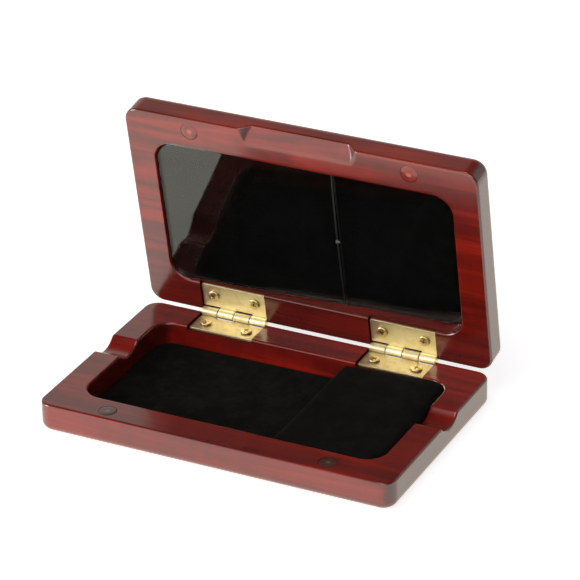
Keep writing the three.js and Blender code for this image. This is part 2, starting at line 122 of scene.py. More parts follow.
def shell_profile(station, hollow, steepness, pocket_depth, height):
    """From the pocket's floor over the rim to the outside, as (x, y, depth behind the meeting face)."""
    (ux, uy), (outer_x, outer_y), (inner_x, inner_y) = station

    def from_pocket(out):
        return inner_x + ux * (POCKET_CORNER + out), inner_y + uy * (POCKET_CORNER + out)

    def from_outside(inset):
        return outer_x + ux * (CORNER_RADIUS - inset), outer_y + uy * (CORNER_RADIUS - inset)

    profile = []
    wall_top = hollow(*from_pocket(0)) + POCKET_EDGE
    for step in range(WALL_STEPS):
        share = step / WALL_STEPS
        profile.append((*from_pocket(0), pocket_depth + (wall_top - pocket_depth) * share))
    for s, c in quarter(EDGE_STEPS):
        x, y = from_pocket(POCKET_EDGE * (1 - c))
        profile.append((x, y, hollow(x, y) + POCKET_EDGE * (1 - s)))
    start, end = Vector(from_pocket(POCKET_EDGE)), Vector(from_outside(OUTER_BAND))
    for step in range(1, FACE_STEPS + 1):
        x, y = start.lerp(end, step / FACE_STEPS)
        profile.append((x, y, hollow(x, y)))
    for step in range(1, BAND_STEPS):
        x, y = from_outside(OUTER_BAND + (MEETING_EDGE - OUTER_BAND) * step / BAND_STEPS)
        profile.append((x, y, hollow(x, y)))
    for s, c in quarter(EDGE_STEPS):
        x, y = from_outside(MEETING_EDGE * (1 - s))
        drop = MEETING_EDGE * (1 - steepness * hollow(x, y)) * (1 - c)
        profile.append((x, y, hollow(x, y) + drop))
    wall_end = height - OUTSIDE_EDGE
    wall_start = profile[-1][2]
    for step in range(1, WALL_STEPS):
        profile.append((*from_outside(0), wall_start + (wall_end - wall_start) * step / WALL_STEPS))
    for s, c in quarter(OUTSIDE_STEPS):
        x, y = from_outside(OUTSIDE_EDGE * (1 - c))
        profile.append((x, y, wall_end + OUTSIDE_EDGE * s))
    return profile


def shell_shape(hollow, steepness, pocket_depth, height, face, side):
    """Half a case. side is -1 where the wood lies under its meeting face, and 1 where it lies over."""
    profiles = [shell_profile(s, hollow, steepness, pocket_depth, height) for s in STATIONS]
    rings = len(profiles[0])
    points = [(x, y, face + side * depth) for profile in profiles for x, y, depth in profile]
    floor_middle = len(points)
    outside_middle = floor_middle + 1
    points += [(0, 0, face + side * pocket_depth), (0, 0, face + side * height)]
    faces = []
    for here in range(len(profiles)):
        a, b = here * rings, (here + 1) % len(profiles) * rings
        faces.append((floor_middle, a, b))
        faces += [(a + ring, a + ring + 1, b + ring + 1, b + ring) for ring in range(rings - 1)]
        faces.append((outside_middle, b + rings - 1, a + rings - 1))
    if side > 0:
        faces = [face[::-1] for face in faces]
    return points, faces


def rest_hollow(x, y):
    """How deep a tip rest lies below the tray's rim at a place: a round trough with its crests eased over."""
    if abs(x) < SHARED_LONG_SIDE:
        return 0
    middle_over_rim = REST_RADIUS - REST_DEPTH
    crest = sqrt((REST_RADIUS + REST_CREST) ** 2 - (middle_over_rim + REST_CREST) ** 2)
    meets = crest * REST_RADIUS / (REST_RADIUS + REST_CREST)
    away = abs(y - REST_MIDDLE)
    if away < meets:
        return sqrt(REST_RADIUS**2 - away**2) - middle_over_rim
    if away < crest:
        return REST_CREST - sqrt(REST_CREST**2 - (crest - away) ** 2)
    return 0


def new_object(name, data):
    made = bpy.data.objects.new(name, data)
    bpy.context.scene.collection.objects.link(made)
    return made


def new_piece(name, shape, *materials):
    points, faces = shape
    mesh = bpy.data.meshes.new(name)
    mesh.from_pydata([Vector(point) * MM for point in points], [], faces)
    for material in materials:
        mesh.materials.append(material)
    return new_object(name, mesh)


def settle(piece):
    """Turns a piece and its modifiers into a plain mesh."""
    graph = bpy.context.evaluated_depsgraph_get()
    mesh = bpy.data.meshes.new_from_object(
        piece.evaluated_get(graph), preserve_all_data_layers=True, depsgraph=graph
    )
    mesh.name = piece.name
    piece.modifiers.clear()
    piece.data = mesh


def cut_by(piece, tool, slot=0):
    """Cuts one piece with another. The slot is the number of the piece's material that the cut shows."""
    for face in tool.data.polygons:
        face.material_index = slot
    cutting = piece.modifiers.new("cut", "BOOLEAN")
    cutting.operation = "DIFFERENCE"
    cutting.solver = "EXACT"
    cutting.material_mode = "INDEX"
    cutting.object = tool
    settle(piece)
    bpy.data.objects.remove(tool)


def cut_from(piece, shape, slot=0):
    cut_by(piece, new_piece("cutter", shape, *piece.data.materials), slot)


def smooth_off(piece, crease=32):
    """Shades a piece smooth, with crisp edges where its faces turn by more than the crease in degrees."""
    piece.data.shade_smooth()
    piece.data.set_sharp_from_angle(angle=radians(crease))
    weights = piece.modifiers.new("weights", "WEIGHTED_NORMAL")
    weights.keep_sharp = True
    settle(piece)


def turned_shape(profile, sides):
    """A solid turned about the upright axis; its (radius, height) profile runs from low to high."""
    (_, low), *rings, (_, high) = profile
    points = [(0, 0, low)]
    for radius, height in rings:
        for step in range(sides):
            angle = step / sides * tau
            points.append((radius * cos(angle), radius * sin(angle), height))
    points.append((0, 0, high))
    top = len(points) - 1
    last = 1 + (len(rings) - 1) * sides
    faces = []
    for step in range(sides):
        after = (step + 1) % sides
        faces.append((0, 1 + after, 1 + step))
        faces.append((top, last + step, last + after))
        for ring in range(1, last, sides):
            faces.append((ring + step, ring + after, ring + sides + after, ring + sides + step))
    return points, faces


def moved(shape, *places, turn=None):
    """Copies of a shape, each turned and set at a place, as one shape."""
    points, faces = [], []
    for place in places:
        faces += [[corner + len(points) for corner in face] for face in shape[1]]
        for point in shape[0]:
            point = Vector(point)
            points.append((turn @ point if turn else point) + Vector(place))
    return points, faces


def change_about(piece, spot, change):
    """Turns or mirrors a piece's mesh about a spot."""
    spot = Vector(spot) * MM
    piece.data.transform(Matrix.Translation(spot) @ change @ Matrix.Translation(-spot))


def block(low, high):
    xs, ys, zs = zip(low, high)
    points = [(x, y, z) for z in zs for y in ys for x in xs]
    faces = [(0, 2, 3, 1), (4, 5, 7, 6), (0, 1, 5, 4), (2, 6, 7, 3), (0, 4, 6, 2), (1, 3, 7, 5)]
    return points, faces


def wire_up(tree, node, wires):
    """Sets a node's inputs by name or number, each to a value or to another node's output."""
    for socket, source in wires.items():
        if isinstance(source, bpy.types.NodeSocket):
            tree.links.new(source, node.inputs[socket])
        else:
            node.inputs[socket].default_value = source


def put(tree, kind, wires=(), **settings):
    added = tree.nodes.new(kind)
    for name, value in settings.items():
        setattr(added, name, value)
    wire_up(tree, added, dict(wires))
    return added


def reckoned(tree, way, *values):
    return put(tree, "ShaderNodeMath", dict(enumerate(values)), operation=way).outputs[0]


def own_place(tree, output="Object"):
    return put(tree, "ShaderNodeTexCoord").outputs[output]


def parts_of(tree, vector):
    return put(tree, "ShaderNodeSeparateXYZ", {"Vector": vector}).outputs


def drawn_out(tree, place, *shares):
    return put(tree, "ShaderNodeMapping", {"Vector": place, "Scale": shares}).outputs[0]


def speckle(tree, place, scale, detail, **more):
    wires = {"Vector": place, "Scale": scale, "Detail": detail, **more}
    return put(tree, "ShaderNodeTexNoise", wires).outputs["Fac"]


def dented(tree, height, strength, distance):
    wires = {"Height": height, "Strength": strength, "Distance": distance}
    return put(tree, "ShaderNodeBump", wires).outputs["Normal"]


def new_group(name, kind, takes, gives):
    """An empty node group with named inputs and outputs: (tree, its inputs, its output node)."""
    tree = bpy.data.node_groups.new(name, kind)
    for label, (socket, start) in takes.items():
        made = tree.interface.new_socket(label, in_out="INPUT", socket_type=socket)
        if start is not None:
            made.default_value = start
    for label, socket in gives.items():
        tree.interface.new_socket(label, in_out="OUTPUT", socket_type=socket)
    return tree, put(tree, "NodeGroupInput").outputs, put(tree, "NodeGroupOutput")


def paint(red, green, blue):
    """A colour given as it looks on a screen, 0 to 255, for a shader."""
    shares = [value / 255 for value in (red, green, blue)]
    return (*[s / 12.92 if s < 0.04045 else ((s + 0.055) / 1.055) ** 2.4 for s in shares], 1)


def new_material(name):
    """An empty material: (material, its tree, its surface shader)."""
    material = bpy.data.materials.new(name)
    material.use_nodes = True
    tree = material.node_tree
    tree.nodes.clear()
    shader = put(tree, "ShaderNodeBsdfPrincipled")
    put(tree, "ShaderNodeOutputMaterial", {"Surface": shader.outputs["BSDF"]})
    return material, tree, shader


def mixed(tree, share, first, second, way="MIX"):
    mix = put(tree, "ShaderNodeMix", {0: share, 6: first, 7: second}, data_type="RGBA", blend_type=way)
    return mix.outputs[2]


def spread(tree, value, low, high, to_low=0.0, to_high=1.0):
    wires = {"Value": value, "From Min": low, "From Max": high, "To Min": to_low, "To Max": to_high}
    return put(tree, "ShaderNodeMapRange", wires, interpolation_type="SMOOTHSTEP").outputs["Result"]


# The colour of soaked end grain, also used as the painted shade near the hinge edge.
END_GRAIN_AND_PAINTED_SHADE = paint(52, 8, 6)


def grain_group():
    """Cherry under stain: growth bands, pores drawn out lengthwise, a ripple, dark end grain, and painted
    shade that darkens the wood towards its low hinge edge.
    """
    takes = {
        "Stain": ("NodeSocketColor", paint(124, 24, 13)),
        "Dark stain": ("NodeSocketColor", paint(80, 12, 8)),
        "End grain": ("NodeSocketFloat", 0.8),
        "Band size": ("NodeSocketFloat", 150.0),
        "Ripple": ("NodeSocketFloat", 0.06),
        "Shift": ("NodeSocketVector", (0, 0, 0)),
        "Hinge edge": ("NodeSocketFloat", 0.0),
    }
    gives = {"Color": "NodeSocketColor", "Height": "NodeSocketFloat"}
    tree, given, result = new_group("Stained grain", "ShaderNodeTree", takes, gives)
    place = own_place(tree)
    place = put(tree, "ShaderNodeVectorMath", {0: place, 1: given["Shift"]}, operation="ADD").outputs[0]
    bands = speckle(tree, drawn_out(tree, place, 0.09, 1, 1), given["Band size"], 3, Distortion=0.9)
    pores = speckle(tree, drawn_out(tree, place, 0.035, 1, 1), 1500, 2)
    ripple = speckle(tree, drawn_out(tree, place, 1, 0.16, 0.16), 210, 1, Distortion=0.6)
    clouds = speckle(tree, drawn_out(tree, place, 0.5, 1, 1), 34, 1)
    color = mixed(tree, spread(tree, bands, 0.34, 0.66), given["Dark stain"], given["Stain"])
    color = mixed(tree, spread(tree, pores, 0.42, 0.3, 0.0, 0.55), color, given["Dark stain"])
    color = mixed(tree, spread(tree, clouds, 0.54, 0.34, 0.0, 0.5), color, given["Dark stain"])
    glow = reckoned(tree, "MULTIPLY", spread(tree, ripple, 0.4, 0.62), given["Ripple"])
    color = mixed(tree, glow, color, given["Stain"], "ADD")
    # Painted shade: darker towards the bottom, near the hinge, where less light falls.
    height = parts_of(tree, own_place(tree))["Z"]
    soak_and_painted_shade = spread(tree, height, 0.045, 0.012, 0.0, given["Hinge edge"])
    color = mixed(tree, soak_and_painted_shade, color, END_GRAIN_AND_PAINTED_SHADE)
    lengthwise = reckoned(tree, "ABSOLUTE", parts_of(tree, own_place(tree, "Normal"))["X"])
    soak_and_painted_shade = reckoned(tree, "MULTIPLY", spread(tree, lengthwise, 0.25, 0.7), given["End grain"])
    color = mixed(tree, soak_and_painted_shade, color, END_GRAIN_AND_PAINTED_SHADE)
    wire_up(tree, result, {"Color": color, "Height": pores})
    return tree


STAINED_GRAIN = grain_group()


def stained_cherry(name, shift, stain, dark_stain, painted_hinge_shade=0.0):
    """Cherry with no lacquer on it yet: (material, its tree, its surface shader)."""
    material, tree, shader = new_material(name)
    # The last value sets how much painted shade darkens the wood near the hinge.
    wires = {"Shift": shift, "Stain": stain, "Dark stain": dark_stain, "Hinge edge": painted_hinge_shade}
    grain = put(tree, "ShaderNodeGroup", wires, node_tree=STAINED_GRAIN).outputs
    wire_up(tree, shader, {
        "Base Color": grain["Color"],
        "Normal": dented(tree, grain["Height"], 0.12, 0.0002),
        "Roughness": 0.7,
        "Specular IOR Level": 0.03,
    })
    return material, tree, shader


def lacquered_cherry(name, *look):
    material, tree, shader = stained_cherry(name, *look)
    wire_up(tree, shader, {"Coat Weight": 1, "Coat Roughness": 0.19, "Coat IOR": 1.8})
    return material


# Where the butt hinges lie, as the wood is cut for them: a flat recess across the back rim and a
# round one for the knuckles. Each magnet has a bore in the front rim.
HINGE_CENTRES = (-31.7, 31.7)
HINGE_LENGTH = 24.2
HINGE_PLAY = 0.2
AXIS_Y = 40.07
AXIS_Z = 10.4
KNUCKLE_RADIUS = 1.65
KNUCKLE_ROOM = 2.25
LEAF_SINK = 0.9
LEAF_THICKNESS = 0.8
SCREW_OFFSET = 7.7
SCREW_Y = 33.4
MAGNET_OFFSET = 39.8
MAGNET_Y = -34.9
MAGNET_RADIUS = 3.1
MAGNET_PLAY = 0.03
MAGNET_SINK = 0.06
MAGNET_THICKNESS = 2.0
HALF_GAP = 0.1
OVERRUN = 2.0
ALONG_X = Matrix.Rotation(pi / 2, 3, "Y")


def rod(radius, low, high, sides=48):
    return turned_shape([(0, low), (radius, low), (radius, high), (0, high)], sides)


def cut_for_fittings(piece, face, side):
    half = HINGE_LENGTH / 2 + HINGE_PLAY
    floor = face + side * (LEAF_SINK + LEAF_THICKNESS)
    low, high = sorted((face - side * OVERRUN, floor))
    recess = block(
        (-half, POCKET_HALF_WIDTH - OVERRUN, low),
        (half, HALF_WIDTH + OVERRUN, high),
    )
    # The cut faces show material slot 1, the darker unlacquered cherry that paints shade into the recesses.
    cut_from(piece, moved(recess, *[(x, 0, 0) for x in HINGE_CENTRES]), slot=1)
    knuckles = moved(rod(KNUCKLE_ROOM, -half, half), (0, 0, 0), turn=ALONG_X)
    cut_from(piece, moved(knuckles, *[(x, AXIS_Y, AXIS_Z) for x in HINGE_CENTRES]), slot=1)
    low, high = sorted((face - side * OVERRUN, face + side * (MAGNET_SINK + MAGNET_THICKNESS + MAGNET_PLAY)))
    bore = rod(MAGNET_RADIUS + MAGNET_PLAY, low, high, 64)
    cut_from(piece, moved(bore, *[(x, MAGNET_Y, 0) for x in (-MAGNET_OFFSET, MAGNET_OFFSET)]), slot=1)


tray_wood = lacquered_cherry("tray cherry lacquer", (0.31, 0.02, 0.0), paint(148, 25, 12), paint(100, 13, 8))
# A darker, browner cherry without lacquer for the faces cut for the fittings: painted shade in the hinge
# recesses and the knuckles' room.
shaded_recess_wood = stained_cherry("bare cherry", (0.12, 0.31, 0.07), paint(84, 32, 20), paint(52, 18, 12))[0]
tray_shape = shell_shape(rest_hollow, 0, TRAY_POCKET_DEPTH, TRAY_HEIGHT, TRAY_HEIGHT, -1)
tray = new_piece("tray", tray_shape, tray_wood, shaded_recess_wood)
cut_for_fittings(tray, TRAY_HEIGHT, -1)
smooth_off(tray)
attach(tray, "base")
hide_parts("base_tray")

# Floor lining. Black cotton velvet glued to the floor of the tray's pocket, cut to the pocket's
# outline, with its pile brushed this way and that by fingers.
LINING_TOP = 2.55
LINING_PLAY = 0.06
LINING_ROLL = 0.35
LINING_ROLL_STEPS = 4
LINING_RINGS = 26
LINING_SWELL = 0.05
SWELL_SIZE = 0.11


def lining_shape(low, high, swell_side):
    """A velvet sheet as a closed plate with a rolled edge and a slightly uneven pile on its show side."""
    levels = [(0, low), (0, high - LINING_ROLL)]
    for s, c in quarter(LINING_ROLL_STEPS, 1):
        levels.append((LINING_ROLL * (1 - c), high - LINING_ROLL * (1 - s)))
    points, faces = [], []
    for (ux, uy), _, (inner_x, inner_y) in STATIONS:
        for inset, height in levels:
            reach = POCKET_CORNER - LINING_PLAY - inset
            points.append((inner_x + ux * reach, inner_y + uy * reach, height))
        edge = Vector(points[-1])
        for ring in range(1, LINING_RINGS):
            spot = edge.lerp(Vector((0, 0, high)), ring / LINING_RINGS)
            swell = noise.fractal(Vector((spot.x, spot.y, 0)) * SWELL_SIZE, 0.6, 2, 3)
            points.append((spot.x, spot.y, high + LINING_SWELL * swell * min(1, ring / 3)))
    rings = len(levels) + LINING_RINGS - 1
    under, over = len(points), len(points) + 1
    points += [(0, 0, low), (0, 0, high)]
    for here in range(len(STATIONS)):
        a, b = here * rings, (here + 1) % len(STATIONS) * rings
        faces.append((under, b, a))
        faces += [(a + ring, b + ring, b + ring + 1, a + ring + 1) for ring in range(rings - 1)]
        faces.append((over, a + rings - 1, b + rings - 1))
    if swell_side < 0:
        points = [(x, y, low + high - z) for x, y, z in points]
        faces = [face[::-1] for face in faces]
    return points, faces


def nap_group():
    """Velvet pile: soft patches where it lies one way or the other, and the fine grain of the tufts."""
    takes = {
        "Pile": ("NodeSocketColor", paint(17, 18, 16)),
        "Brushed pile": ("NodeSocketColor", paint(31, 32, 29)),
        "Patch size": ("NodeSocketFloat", 190.0),
    }
    gives = {"Color": "NodeSocketColor", "Height": "NodeSocketFloat", "Roughness": "NodeSocketFloat"}
    tree, given, result = new_group("Velvet nap", "ShaderNodeTree", takes, gives)
    place = own_place(tree)
    patches = speckle(tree, place, given["Patch size"], 4, Roughness=0.65)
    tufts = speckle(tree, place, 2600, 2)
    brushed = spread(tree, patches, 0.38, 0.68)
    color = mixed(tree, brushed, given["Pile"], given["Brushed pile"])
    color = mixed(tree, spread(tree, tufts, 0.3, 0.7, 0.0, 0.6), color, given["Pile"])
    rough = spread(tree, patches, 0.3, 0.7, 1.0, 0.82)
    wire_up(tree, result, {"Color": color, "Height": tufts, "Roughness": rough})
    return tree


VELVET_NAP = nap_group()


def velvet(name, pile, brushed_pile, patch_size, sheen):
    material, tree, shader = new_material(name)
    wires = {"Pile": pile, "Brushed pile": brushed_pile, "Patch size": patch_size}
    nap = put(tree, "ShaderNodeGroup", wires, node_tree=VELVET_NAP).outputs
    wire_up(tree, shader, {
        "Base Color": nap["Color"],
        "Roughness": nap["Roughness"],
        "Normal": dented(tree, nap["Height"], 0.7, 0.0003),
        "Specular IOR Level": 0.12,
        "Sheen Weight": sheen,
        "Sheen Roughness": 0.35,
        "Sheen Tint": paint(150, 150, 140),
    })
    return material


floor_velvet = velvet("floor velvet", paint(12, 12, 10), paint(23, 23, 20), 190, 0.012)
floor_shape = lining_shape(TRAY_HEIGHT - TRAY_POCKET_DEPTH, LINING_TOP, 1)
floor_lining = new_piece("floor_lining", floor_shape, floor_velvet)
smooth_off(floor_lining, 60)
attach(floor_lining, "base")
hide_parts("base_floor_lining")

# Raised pad. A foam block under the same velvet, pressed into the right half of the pocket: a soft
# ramp on its left, a top that crowns up past the rim, and sides that pull in between the corners.
PAD_FOOT = 11.0
PAD_LENGTH = 42.85
PAD_RAMP_RUN = 6.5
PAD_RAMP_TOP = 9.5
PAD_TOP = 11.4
PAD_SIDE_PLAY = 0.15
PAD_DRAW_IN = 0.5
PAD_SHOULDER = 1.5
PAD_EDGE_BAND = 5.0
PAD_EDGE_DROP = 0.45
PAD_PUCKER = 0.12
PAD_TOE = 0.35
PAD_TOE_RUN = 0.5
PAD_SINK = 0.02
PAD_COLUMNS = 110
PAD_ROWS = 130


def pad_half_width(along):
    corner = POCKET_CORNER - PAD_SIDE_PLAY
    into_corner = max(0, along - (PAD_LENGTH - corner))
    cut = corner - sqrt(max(0, corner**2 - into_corner**2))
    drawn_in = PAD_DRAW_IN * sin(pi * along / PAD_LENGTH)
    return POCKET_HALF_WIDTH - PAD_SIDE_PLAY - cut - drawn_in


def pad_height(along, y, to_side):
    ramp = min(1, along / PAD_RAMP_RUN)
    eased = ramp * ramp * (3 - 2 * ramp)
    on_top = max(0, along - PAD_RAMP_RUN) / (PAD_LENGTH - PAD_RAMP_RUN)
    crown = PAD_RAMP_TOP + (PAD_TOP - PAD_RAMP_TOP) * on_top**0.9
    from_edge = min(to_side, PAD_LENGTH - along)
    fall = PAD_EDGE_DROP * max(0, 1 - from_edge / PAD_EDGE_BAND) ** 2
    shoulder = max(0, 1 - from_edge / PAD_SHOULDER)
    fall += PAD_SHOULDER * (1 - sqrt(1 - shoulder**2))
    pucker = PAD_PUCKER * noise.fractal(Vector((along, y, 3)) * SWELL_SIZE, 0.7, 2, 3)
    toe = LINING_TOP + PAD_TOE * min(1, along / PAD_TOE_RUN)
    return max(toe, LINING_TOP + (crown - LINING_TOP - fall + pucker) * eased)


def pad_shape():
    points, faces = [], []
    for column in range(PAD_COLUMNS + 1):
        share = column / PAD_COLUMNS
        along = PAD_LENGTH * sin(share * pi / 2) ** 0.9
        half = pad_half_width(along)
        for row in range(PAD_ROWS + 1):
            y = -half * cos(row / PAD_ROWS * pi)
            points.append((PAD_FOOT + along, y, pad_height(along, y, half - abs(y))))
    under = len(points)
    points += [(x, y, LINING_TOP - PAD_SINK) for x, y, _ in points]
    across = PAD_ROWS + 1
    last = PAD_COLUMNS * across
    for i in range(0, last, across):
        for near in range(i, i + across - 1):
            far = near + across
            faces.append((near, far, far + 1, near + 1))
            faces.append((under + near, under + near + 1, under + far + 1, under + far))
        end = i + across - 1
        faces.append((i, under + i, under + i + across, i + across))
        faces.append((end, end + across, under + end + across, under + end))
    for j in range(across - 1):
        faces.append((j, j + 1, under + j + 1, under + j))
        faces.append((last + j, under + last + j, under + last + j + 1, last + j + 1))
    return points, faces


pad_velvet = velvet("pad velvet", paint(8, 8, 7), paint(15, 14, 13), 120, 0.012)
rest_pad = new_piece("raised_pad", pad_shape(), pad_velvet)
smooth_off(rest_pad, 50)
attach(rest_pad, "base")
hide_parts("base_raised_pad")

# Lid. The upper half, routed from a second block of the same wood and finished with the tray. A
# cove along its front edge gives a fingertip room to lift it.
LID_HEIGHT = 9.9
LID_FACE = 10.5
LID_POCKET_DEPTH = 8.6
OPEN_DEGREES = 79.7
SCOOP_DEPTH = 3.1
SCOOP_END_REACH = 4.3
SCOOP_BLEND = 0.16
SCOOP_END_SLANT = 0.6
SCOOP_MITRE = 0.04
SCOOP_STEEPNESS = 0.27


def scoop_hollow(x, y):
    """How deep the cove lies behind the lid's meeting face: an even slope, mitred at its ends."""
    beyond_straight = max(0, abs(x) - (SCOOP_HALF_LENGTH - SCOOP_END_REACH))
    from_front = (y + HALF_WIDTH) / SCOOP_REACH
    slope = 1 - from_front
    end = 1 - beyond_straight / SCOOP_END_REACH - SCOOP_END_SLANT * from_front**2
    within = max(0, (slope + end - hypot(slope - end, SCOOP_MITRE)) / 2)
    return SCOOP_DEPTH * (hypot(within, SCOOP_BLEND) - SCOOP_BLEND) / (hypot(1, SCOOP_BLEND) - SCOOP_BLEND)


def turn_open(piece):
    """Swings a piece that is drawn with the case shut up to where the lid stands at rest."""
    change_about(piece, (0, AXIS_Y, AXIS_Z), Matrix.Rotation(radians(-OPEN_DEGREES), 4, "X"))


# The lid's wood darkens towards its hinge with painted shade (0.6).
lid_wood = lacquered_cherry(
    "lid cherry lacquer", (0.04, 0.11, 0.07), paint(154, 32, 15), paint(98, 14, 8), 0.6
)
lid_shape = shell_shape(scoop_hollow, SCOOP_STEEPNESS, LID_POCKET_DEPTH, LID_HEIGHT, LID_FACE, 1)
lid = new_piece("lid", lid_shape, lid_wood, shaded_recess_wood)
cut_for_fittings(lid, LID_FACE, 1)
turn_open(lid)
smooth_off(lid)
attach(lid, "lid")
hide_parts("lid_shell")

# Lid backing. A wedge under the same velvet, so that the glass in front of it shows black and leans:
# almost flush with the rim at its left end and deep at its right. A channel takes the elastic.
GLASS_FACE = 10.8
GLASS_THICKNESS = 1.6
GLASS_BACK = GLASS_FACE + GLASS_THICKNESS
GLASS_LEFT_END = -53.6
GLASS_DROP = 5.6
GLASS_SLOPE = GLASS_DROP / (-2 * GLASS_LEFT_END)
BACKING_GAP = 0.05
ELASTIC_RADIUS = 0.23
ELASTIC_X = 9.9
ELASTIC_BOW = 0.45
ELASTIC_TURN = 27.6
ELASTIC_ROOM = 0.5
CHANNEL_DEPTH = 0.85


def lean(piece):
    """Tips a piece that is drawn level about the glass's left end, to lie as the glass does."""
    change_about(piece, (GLASS_LEFT_END, 0, GLASS_FACE), Matrix.Rotation(-asin(GLASS_SLOPE), 4, "Y"))


def wedge_shape(low, high):
    """The lining with its show side sloped along the glass, while its glued side stays level."""
    points, faces = lining_shape(low, high, -1)
    sloped = []
    for x, y, z in points:
        share = min(1, (high - z) / (high - low))
        sloped.append((x, y, z + share * GLASS_SLOPE * (x - GLASS_LEFT_END)))
    return sloped, faces


backing_velvet = velvet("backing velvet", paint(7, 7, 6), paint(10, 10, 9), 150, 0.0)
lid_ceiling = LID_FACE + LID_POCKET_DEPTH
backing = new_piece("backing", wedge_shape(GLASS_BACK + BACKING_GAP, lid_ceiling), backing_velvet)
channel_shape = block(
    (ELASTIC_X - ELASTIC_ROOM, -HALF_WIDTH, GLASS_BACK - 1),
    (ELASTIC_X + ELASTIC_ROOM, HALF_WIDTH, GLASS_BACK + CHANNEL_DEPTH),
)
channel = new_piece("channel", channel_shape)
lean(channel)
cut_by(backing, channel)
turn_open(backing)
smooth_off(backing, 60)
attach(backing, "lid")
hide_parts("lid_backing_lining")

# Glass plate. A sheet of polished plate glass with ground edges, set into the lid on its velvet: the
# flat that the reeds are pressed on. The elastic sits in a nick in each long edge.
GLASS_PLAY = 0.25
GLASS_EDGE = 0.3


def glass_shape():
    levels = [(GLASS_EDGE, GLASS_FACE)]
    levels.append((0, GLASS_FACE + GLASS_EDGE))
    levels.append((0, GLASS_BACK - GLASS_EDGE))
    levels.append((GLASS_EDGE, GLASS_BACK))
    points, faces = [], []
    for (ux, uy), _, (inner_x, inner_y) in STATIONS:
        for inset, height in levels:
            reach = POCKET_CORNER - GLASS_PLAY - inset
            points.append((inner_x + ux * reach, inner_y + uy * reach, height))
    rings = len(levels)
    low, high = [[here * rings + ring for here in range(len(STATIONS))] for ring in (0, rings - 1)]
    faces += [low[::-1], high]
    for here in range(len(STATIONS)):
        a, b = here * rings, (here + 1) % len(STATIONS) * rings
        faces += [(a + ring, b + ring, b + ring + 1, a + ring + 1) for ring in range(rings - 1)]
    return points, faces


def plate_glass():
    """Clear drawn glass: its faces are a trace out of true, which only a mirrored edge shows."""
    material, tree, shader = new_material("plate glass")
    waves = speckle(tree, own_place(tree), 16, 0)
    wire_up(tree, shader, {
        "Normal": dented(tree, waves, 0.1, 0.0001),
        "Roughness": 0,
        "Base Color": paint(236, 243, 240),
        "Transmission Weight": 1,
        "IOR": 1.44,
    })
    return material


glass = new_piece("glass", glass_shape(), plate_glass())
nicks = block(
    (ELASTIC_X - ELASTIC_ROOM, 0, GLASS_FACE - 1),
    (ELASTIC_X + ELASTIC_ROOM, OVERRUN, GLASS_BACK + 1),
)
nick_floor = ELASTIC_TURN - ELASTIC_RADIUS
cut_from(glass, moved(nicks, (0, nick_floor, 0), (0, -nick_floor - OVERRUN, 0)))
lean(glass)
turn_open(glass)
smooth_off(glass, 20)
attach(glass, "lid")
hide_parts("glass_plate")

# Elastic. A thin black braided cord round the glass that holds the reeds down: it runs across the
# front of the plate, over both long edges and back behind it.
BRAID_SIDES = 16
BRAID_LOBES = 4
BRAID_RIB = 0.09
BRAID_PITCH = 1.9
BRAID_STEP = 0.14
KNOT_Y = 1.0
KNOT_GAP = 0.5
FRONT_RUN_STEPS = 40
TURN_STEPS = 8


def elastic_x(y):
    return ELASTIC_X - ELASTIC_BOW * (1 - (y / ELASTIC_TURN) ** 2)


def elastic_path():
    front = GLASS_FACE - ELASTIC_RADIUS
    back = GLASS_BACK + ELASTIC_RADIUS
    radius = 2 * ELASTIC_RADIUS
    straight_end = ELASTIC_TURN - radius
    path = []
    for step in range(FRONT_RUN_STEPS + 1):
        y = KNOT_Y + KNOT_GAP + (straight_end - KNOT_Y - KNOT_GAP) * step / FRONT_RUN_STEPS
        path.append((elastic_x(y), y, front))
    x = elastic_x(straight_end)
    for side, near, far, first in ((1, front, back, 1), (-1, back, front, 0)):
        for s, c in quarter(TURN_STEPS, first):
            path.append((x, side * (straight_end + radius * s), near + side * radius * (1 - c)))
        for s, c in quarter(TURN_STEPS):
            path.append((x, side * (straight_end + radius * c), far - side * radius * (1 - s)))
    for step in range(1, FRONT_RUN_STEPS + 1):
        y = -straight_end + (KNOT_Y - KNOT_GAP + straight_end) * step / FRONT_RUN_STEPS
        path.append((elastic_x(y), y, front))
    return path


def path_piece(name, *paths):
    """Lines to lay a cord along, as a mesh of edges; a path that ends where it starts is closed."""
    points, edges = [], []
    for path in paths:
        start = len(points)
        points += path
        edges += [(i, i + 1) for i in range(start, len(points) - 1)]
    mesh = bpy.data.meshes.new(name)
    mesh.from_pydata([Vector(point) * MM for point in points], edges, [])
    return new_object(name, mesh)


